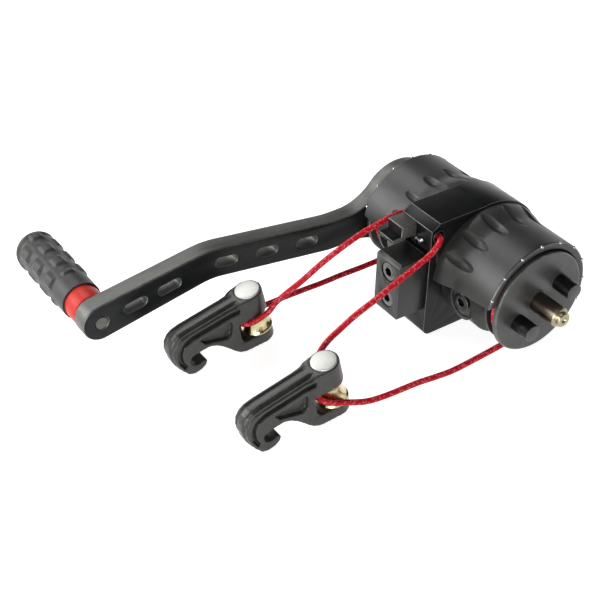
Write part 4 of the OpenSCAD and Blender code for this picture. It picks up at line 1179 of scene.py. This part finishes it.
class WINCH_OT_drive(bpy.types.Operator):
    """Shaft, drive plates, pegs and reels"""

    bl_idname = "winch.drive"
    bl_label = "Drive"

    tip_r = 3.5
    tip_len = 2.6
    # Clearance of a plate on the shaft, of the far pegs, and how much a peg's foot is necked and let in
    bore_slip = 0.05
    peg_slip = 0.05
    peg_neck = 0.8
    peg_foot = 0.4
    # Width of the band on the plate's rim that is painted pale as a highlight
    painted_glint_in = 0.75

    def plate(self, side, sign):
        """A turned disc with a broken edge and a countersink at the shaft."""
        x0, x1 = sorted(abs(x) for x in span(side + "_drive_plate", 0))
        r = span(side + "_drive_plate", 2)[1]
        h = x1 - x0
        bore = SHAFT_R + self.bore_slip
        profile = [(bore, 0), (r - 0.4, 0), (r, 0.4), (r, h - 0.7), (r - 0.25, h - 0.25), (r - 0.7, h)]
        profile += [(bore + 1.5, h), (bore + 1.2, h - 0.12), (bore + 0.7, h - 0.45)]
        profile += [(bore, h - 0.45), (bore, 0)]
        me = turned(side + "_plate_disc", profile, at(sign * x0, 0, 0), (sign, 0, 0), 160, 25)

        # The rim's rounded corner takes the pale edge finish as a painted highlight
        def rule(mid, normal):
            on_rim = math.hypot(mid.y, mid.z) > r - self.painted_glint_in
            return 1 if on_rim and 0.1 < abs(normal.x) < 0.95 else 0

        sort_faces(me, rule)
        piece(side + "_plate_disc", me, ("plate", "edge"), "crank", [side + "_drive_plate"],
              "plate_graphite")

    def pegs(self):
        """Four pegs, two to a plate: black sides, ends faced grey."""
        made = []
        far_end, near_end = span("drive_pegs", 0)
        for sign, end, r in ((1, near_end, PEG_R), (-1, -far_end, PEG_R - self.peg_slip)):
            side = "near" if sign > 0 else "far"
            face = max(abs(x) for x in span(side + "_drive_plate", 0))
            h = end - face
            neck = r - self.peg_neck
            profile = [(0, -self.peg_foot), (neck, -self.peg_foot), (neck, 0), (r, 0), (r, h - 0.45)]
            profile += [(r - 0.15, h - 0.15), (r - 0.5, h), (0, h)]
            for a in PEG_TURNS:
                place = at(sign * face, *polar(PEG_CIRCLE, a))
                made.append(turned("peg", profile, place, (sign, 0, 0), 64, 25))
        me = joined("plate_pegs", made)
        ends = near_end - 0.05
        sort_faces(me, lambda mid, n: 1 if abs(mid.x) > ends or 0.2 < abs(n.x) < 0.95 else 0)
        piece("plate_pegs", me, ("oxide", "plate"), "crank", ["drive_pegs"], "dark_steel")

    def shaft(self):
        """The shaft with its stepped tips, broken edges and centre holes."""
        half = span("main_shaft", 0)[1]
        r, tip = SHAFT_R, self.tip_r
        step = half - self.tip_len
        outer = [(0, half - 1.8), (1.15, half - 0.5), (1.4, half), (tip - 0.4, half), (tip, half - 0.4)]
        outer += [(tip, step + 0.7), (tip + 0.2, step + 0.45), (r - 0.5, step + 0.3), (r, step - 0.3)]
        profile = [(q, -h) for q, h in outer] + [(q, h) for q, h in reversed(outer)]
        me = turned("drive_shaft", profile, at(0, 0, 0), (1, 0, 0), 96, 30)
        piece("drive_shaft", me, "shaft", "crank", ["main_shaft"], "shaft_steel")

    def execute(self, context):
        for side, sign in SIDES.items():
            self.plate(side, sign)
        self.pegs()
        self.shaft()
        finish_node("reel", "near_reel", "far_reel")
        return {"FINISHED"}


class WINCH_OT_crank(bpy.types.Operator):
    """The crank arm and the grip's axle"""

    bl_idname = "winch.crank"
    bl_label = "Crank"

    hub_r = 21.8
    blend_r = 25.0
    half = 7.7
    end_r = 8.8
    # The arm's middle line bends at knee and elbow and ends at the wrist, as (y, z)
    knee = np.array((-45, -2.2))
    elbow = np.array((-111, 7.2))
    wrist = np.array((-166.8, -2.2))
    # Rounding of the two bends along the upper and the lower edge
    upper_bends = (45, 48)
    lower_bends = (30, 32)
    bore_slip = 0.1
    axle_bore = 3.25
    slot_half = 3.5
    slot_r = 2.3
    # How square to the shaft the arm's faces lie at least, and the rounding of its edges, which takes the
    # pale edge finish as a painted highlight
    face_square = 0.93
    edge_square = 0.25
    # Parts of the way along each stretch of the arm at which its slots lie
    knee_slots = (0.21, 0.55, 0.88)
    elbow_slots = (0.39, 0.7)

    def edge_line(self, sign):
        """The arm's upper or lower edge from the hub to the wrist, its bends rounded."""

        def normal(a, b):
            d = (b - a) / np.linalg.norm(b - a)
            return np.array([d[1], -d[0]])

        first = np.array([0.0, 1.0])
        second = normal(self.knee, self.elbow)
        third = normal(self.elbow, self.wrist)
        at_knee = self.knee + sign * self.half * (first + second) / (1 + first @ second)
        at_elbow = self.elbow + sign * self.half * (second + third) / (1 + second @ third)
        start = np.array([-10.0, self.knee[1] + sign * self.half])
        end = self.wrist + sign * self.end_r * third
        return soften([start, at_knee, at_elbow, end], self.upper_bends if sign > 0 else self.lower_bends)

    def blend(self, sign):
        """The fillet between the hub and the arm's straight foot, and where it meets the hub."""
        z = self.half + sign * self.knee[1] + self.blend_r
        c = np.array([-math.sqrt((self.hub_r + self.blend_r) ** 2 - z * z), sign * z])
        join = c * self.hub_r / np.linalg.norm(c)
        a0 = math.atan2(*(join - c)[::-1])
        turn = (-sign * math.pi / 2 - a0 + math.pi) % (2 * math.pi) - math.pi
        arc = [c + polar(self.blend_r, a) for a in np.linspace(a0, a0 + turn, 15)]
        return join, arc + [p for p in self.edge_line(sign) if p[0] < c[0] - 0.5]

    def outline(self):
        """The arm's whole outline, as (y, z)."""
        top_join, top = self.blend(1)
        low_join, low = self.blend(-1)
        a0 = math.atan2(*low_join[::-1])
        a1 = math.atan2(*top_join[::-1])
        hub = [polar(self.hub_r, a) for a in np.linspace(a0, a1, 80)]
        t0 = math.atan2(*(top[-1] - self.wrist)[::-1])
        end = [self.wrist + polar(self.end_r, a) for a in np.linspace(t0, t0 + math.pi, 48)]
        return hub[1:-1] + top + end[1:-1] + low[::-1]

    def holes(self):
        """Bores for shaft, pegs and axle, and the five slots along the arm."""
        out = [circle((0, 0), SHAFT_R + self.bore_slip), circle(self.wrist, self.axle_bore)]
        out += [circle(polar(PEG_CIRCLE, a), PEG_R + self.bore_slip) for a in PEG_TURNS]
        for a, b, spots in (
            (self.knee, self.elbow, self.knee_slots),
            (self.elbow, self.wrist, self.elbow_slots),
        ):
            d = (b - a) / np.linalg.norm(b - a)
            q = np.array([-d[1], d[0]])
            for t in spots:
                ring = []
                for s in (1, -1):
                    for w in np.linspace(-math.pi / 2, math.pi / 2, 17):
                        run, rise = polar(self.slot_r, w)
                        ring.append(a + (b - a) * t + s * (d * (self.slot_half + run) + q * rise))
                out.append(ring)
        return out

    def execute(self, context):
        x0, x1 = span("crank_arm", 0)
        bevel = context.scene.winch_sizes.arm_edge
        me = slab("arm_casting", self.outline(), self.holes(), x0, x1, bevel)

        def rule(mid, normal):
            if abs(normal.x) > self.face_square:
                return 0
            # Rounded edges take the pale edge finish as a painted highlight
            return 2 if abs(normal.x) > self.edge_square else 1

        sort_faces(me, rule)
        piece("arm_casting", me, ("arm", "arm_rim", "edge"), "crank", ["crank_arm"], "arm_charcoal")
        finish_node("arm_rim", "grip_axle")
        return {"FINISHED"}


class WINCH_OT_grip(bpy.types.Operator):
    """Grip sleeve with its pads and domed end, and the red collar"""

    bl_idname = "winch.grip"
    bl_label = "Grip"

    neck_len = 9.5
    neck_r = 9.3
    neck_soft = 1.5
    hollow_r = 9.2
    dome_len = 7.0
    dome_rise = 0.75
    dome_soft = 2.5
    # Above 2 the dome is squarer than a ball
    dome_power = 2.6
    columns = 6
    pad_len = 9.2
    pad_pitch = 12.0
    pad_soft = 2.5
    pad_gap = 0.9
    collar_edge = 0.6
    rings = 190
    sides = 168

    def radius(self, s, turn, whole, pad):
        """Radius at s mm from the collar and at a turn round the grip: staggered pads, then a dome."""
        pitch = 2 * np.pi * self.hollow_r / self.columns
        column = np.floor(turn * self.columns)
        across = np.abs(turn * self.columns - column - 0.5) * pitch
        along = s - self.neck_len - self.pad_pitch / 2 * np.mod(column, 2)
        along = np.abs(np.mod(along, self.pad_pitch) - self.pad_pitch / 2)
        wide = pitch / 2 - self.pad_gap
        lift = ease((wide - across) / self.pad_soft) * ease((self.pad_len / 2 - along) / self.pad_soft)
        start = ease((s - self.neck_len) / self.neck_soft)
        end = ease((whole - self.dome_len + self.dome_soft - s) / self.dome_soft)
        r = self.hollow_r + (self.neck_r - self.hollow_r) * (1 - start)
        r = r + pad * lift * start * end + self.dome_rise * (1 - end)
        t = np.clip((s - whole + self.dome_len) / self.dome_len, 0, 1)
        return r * (1 - t**self.dome_power) ** (1 / self.dome_power)

    def sleeve(self, pad):
        """The rubber sleeve and its domed end, as one turned form with the pads raised on it."""
        far, near = span("grip_end_cap", 0)[0], span("grip_sleeve", 0)[1]
        whole = near - far
        points = []
        for i in range(self.rings):
            # Rings lie closer towards the dome's tip
            s = whole * (1 - (1 - i / (self.rings - 1)) ** 1.35)
            for k in range(self.sides):
                r = float(self.radius(np.float64(s), np.float64(k / self.sides), whole, pad))
                y, z = polar(r, 2 * math.pi * k / self.sides)
                points.append(at(near - s, GRIP_AXIS.y + y, GRIP_AXIS.z + z))
        faces = [tuple(range(self.sides))] + net(self.rings, self.sides)
        return mesh_of("grip_moulding", points, faces, 60)

    def execute(self, context):
        me = self.sleeve(context.scene.winch_sizes.pad / MM)
        piece("grip_moulding", me, "rubber", "grip", ["grip_sleeve", "grip_end_cap"], "grip_rubber")
        me = rounded_copy("grip_collar", self.collar_edge * MM, 3, 40)
        piece("collar_ring", me, "collar", "grip", ["grip_collar"], "collar_red")
        return {"FINISHED"}


class WINCH_OT_hooks(bpy.types.Operator):
    """Hooks with their rollers and pins"""

    bl_idname = "winch.hooks"
    bl_label = "Hooks"

    # The line of the hook's back, from the pin over the claw, as (u, w) in the hook's own frame
    back = ((0, 15.6), (34, 16), (38, 15.6), (41, 14.2), (43.3, 11.6), (44.4, 8), (44.4, 4.4),
            (43.6, 0.4), (42, -3.6), (39.6, -6.3), (36.6, -7.6))
    half_w = 5.0
    crown = 0.9
    groove_at = 2.9
    groove_w = 0.62
    # Depth of skin that the crown and the grooves take along, and how gently they run out: past the head,
    # and at a height under the claw
    skin = 1.2
    fade = 3.0
    head_gap = 0.8
    groove_end = -7.0
    # How much deeper the pockets get, and how far in from the flank their floors start and end
    pocket = 1.2
    pocket_from = 0.45
    pocket_to = 1.8
    pocket_soft = 0.4
    voxel = 0.34
    head_r = 5.8
    head_edge = 0.5
    # Heights on the pin of its foot and of its head's seat
    foot = -12.4
    seat = 15.0
    pin_r = 3.0
    bore_r = 3.05
    flange_r = 7.2
    waist_r = 5.4
    lip_r = 6.0
    roller_half = 5.4
    slot_mid = -1.4

    def moulded_copy(self, node):
        """A copy of the CAD hook with every edge rounded as a moulding's is."""
        o = scratch(merged_copy(node))
        skin = o.modifiers.new("skin", "REMESH")
        skin.mode = "VOXEL"
        skin.voxel_size = self.voxel * MM
        smooth = o.modifiers.new("ease", "SMOOTH")
        smooth.factor = 0.5
        smooth.iterations = 7
        return evaluated(o)

    def sculpt(self, me, sign, groove):
        """Crowns the back across its width and cuts a groove along each side of its middle rib."""
        co = np.empty(len(me.vertices) * 3)
        me.vertices.foreach_get("co", co)
        co = co.reshape(-1, 3)
        place = (co - np.array(SHAFT)) / MM - np.array((HOOK_PIN.x * sign, HOOK_PIN.y, HOOK_PIN.z))
        c, s = math.cos(HOOK_TILT), math.sin(HOOK_TILT)
        u = -(place[:, 1] * c + place[:, 2] * s)
        w = -place[:, 1] * s + place[:, 2] * c
        # How far each point lies from the back, and which way is inwards there
        line = through([(a, b, 0) for a, b in self.back], 0.5)[:, :2]
        best = np.full(len(u), np.inf)
        inward = np.zeros((len(u), 2))
        for a, b in zip(line, line[1:]):
            d = (b - a) / np.linalg.norm(b - a)
            t = np.clip((u - a[0]) * d[0] + (w - a[1]) * d[1], 0, np.linalg.norm(b - a))
            gap = np.hypot(u - a[0] - t * d[0], w - a[1] - t * d[1])
            near = gap < best
            best = np.where(near, gap, best)
            inward[near] = (d[1], -d[0])
        v = np.abs(place[:, 0])
        normal = np.empty(len(co) * 3)
        me.vertices.foreach_get("normal", normal)
        # The pockets' floors in the flanks go deeper
        flank = ease((np.abs(normal[::3]) - 0.55) / 0.3)
        flank *= ease((self.half_w - self.pocket_from - v) / self.pocket_soft)
        flank *= ease((v - self.half_w + self.pocket_to) / self.pocket_soft)
        co[:, 0] -= np.sign(place[:, 0]) * flank * self.pocket * MM
        # The back's crown and grooves fade out below its skin, at the head and under the claw
        cut = self.crown * (v / self.half_w) ** 2
        cut += groove * np.exp(-(((v - self.groove_at) / self.groove_w) ** 2))
        cut *= np.clip(1.5 - best / self.skin, 0, 1)
        cut *= ease((u - self.head_r - self.head_gap) / self.fade) * ease((w - self.groove_end) / self.fade)
        du, dw = inward[:, 0] * cut, inward[:, 1] * cut
        co[:, 1] += (-du * c - dw * s) * MM
        co[:, 2] += (-du * s + dw * c) * MM
        me.vertices.foreach_set("co", co.ravel())
        me.update()
        shade(me, 80)

    def pin(self, side, sign, axis):
        """A pin with a shallow domed head."""
        foot, seat, r = self.foot, self.seat, self.head_r
        profile = [(0, foot), (self.pin_r - 0.4, foot), (self.pin_r, foot + 0.4), (self.pin_r, seat)]
        profile.append((r, seat))
        for a in np.linspace(0, math.pi / 2, 5):
            profile.append(np.array((r - self.head_edge, seat + 0.7)) + polar(self.head_edge, a))
        profile += [(r * 0.6, seat + 1.36), (r * 0.3, seat + 1.44), (0, seat + 1.46)]
        me = turned(side + "_pin", profile, at(*hook_place(sign, 0, 0, 0)), axis, 96, 35)
        piece(side + "_pin", me, "pin", side + "_hook_body", [side + "_hook_pin"], "pin_steel")

    def roller(self, side, sign, axis):
        """A spool: a wide lower flange that sweeps in to the waist, and a lip above."""
        low = self.slot_mid - self.roller_half
        high = self.slot_mid + self.roller_half
        bore, wide, waist, lip = self.bore_r, self.flange_r, self.waist_r, self.lip_r
        profile = [(bore, low), (wide - 0.2, low), (wide, low + 0.2), (wide, low + 0.75)]
        profile.append((wide - 0.15, low + 1.0))
        for t in np.linspace(0.08, 1, 14):
            profile.append((waist + 1.5 * (1 - t) ** 2.4, low + 1.0 + 6.0 * t))
        profile += [(waist + 0.1, high - 1.6), (lip - 0.05, high - 0.9), (lip, high - 0.2)]
        profile += [(lip - 0.2, high), (bore, high), (bore, low)]
        me = turned(side + "_spool", profile, at(*hook_place(sign, 0, 0, 0)), axis, 96, 30)
        piece(side + "_spool", me, side + "_brass", side + "_roller_body", [side + "_roller"],
              "roller_brass")

    def execute(self, context):
        groove = context.scene.winch_sizes.groove / MM
        axis = (0, -math.sin(HOOK_TILT), math.cos(HOOK_TILT))
        for side, sign in SIDES.items():
            me = self.moulded_copy(side + "_hook")
            self.sculpt(me, sign, groove)
            piece(side + "_hook_moulding", me, "hook", side + "_hook_body", [side + "_hook"],
                  "hook_plastic")
            self.pin(side, sign, axis)
            self.roller(side, sign, axis)
        return {"FINISHED"}


class WINCH_PT_panel(bpy.types.Panel):
    """Lists the winch's sizes, colours and pieces"""

    bl_idname = "WINCH_PT_panel"
    bl_label = "Cocking winch"
    bl_space_type = "VIEW_3D"
    bl_region_type = "UI"
    bl_category = "Winch"

    def draw(self, context):
        for group in (context.scene.winch_sizes, context.scene.winch_look):
            for key in group.__annotations__:
                self.layout.prop(group, key)
        for op in STEPS:
            self.layout.operator(op.bl_idname)


STEPS = (
    WINCH_OT_stage,
    WINCH_OT_cords,
    WINCH_OT_body,
    WINCH_OT_covers,
    WINCH_OT_drive,
    WINCH_OT_crank,
    WINCH_OT_grip,
    WINCH_OT_hooks,
)
CLASSES = (WinchSizes, WinchLook, *STEPS, WINCH_PT_panel)


def register():
    for c in CLASSES:
        bpy.utils.register_class(c)
    bpy.types.Scene.winch_sizes = bpy.props.PointerProperty(type=WinchSizes)
    bpy.types.Scene.winch_look = bpy.props.PointerProperty(type=WinchLook)


def unregister():
    del bpy.types.Scene.winch_look
    del bpy.types.Scene.winch_sizes
    for c in reversed(CLASSES):
        bpy.utils.unregister_class(c)


def main():
    register()
    make_finishes()
    bpy.ops.winch.stage()
    bpy.ops.winch.cords()
    bpy.ops.winch.body()
    bpy.ops.winch.covers()
    bpy.ops.winch.drive()
    bpy.ops.winch.crank()
    bpy.ops.winch.grip()
    bpy.ops.winch.hooks()


if __name__ == "__main__":
    main()
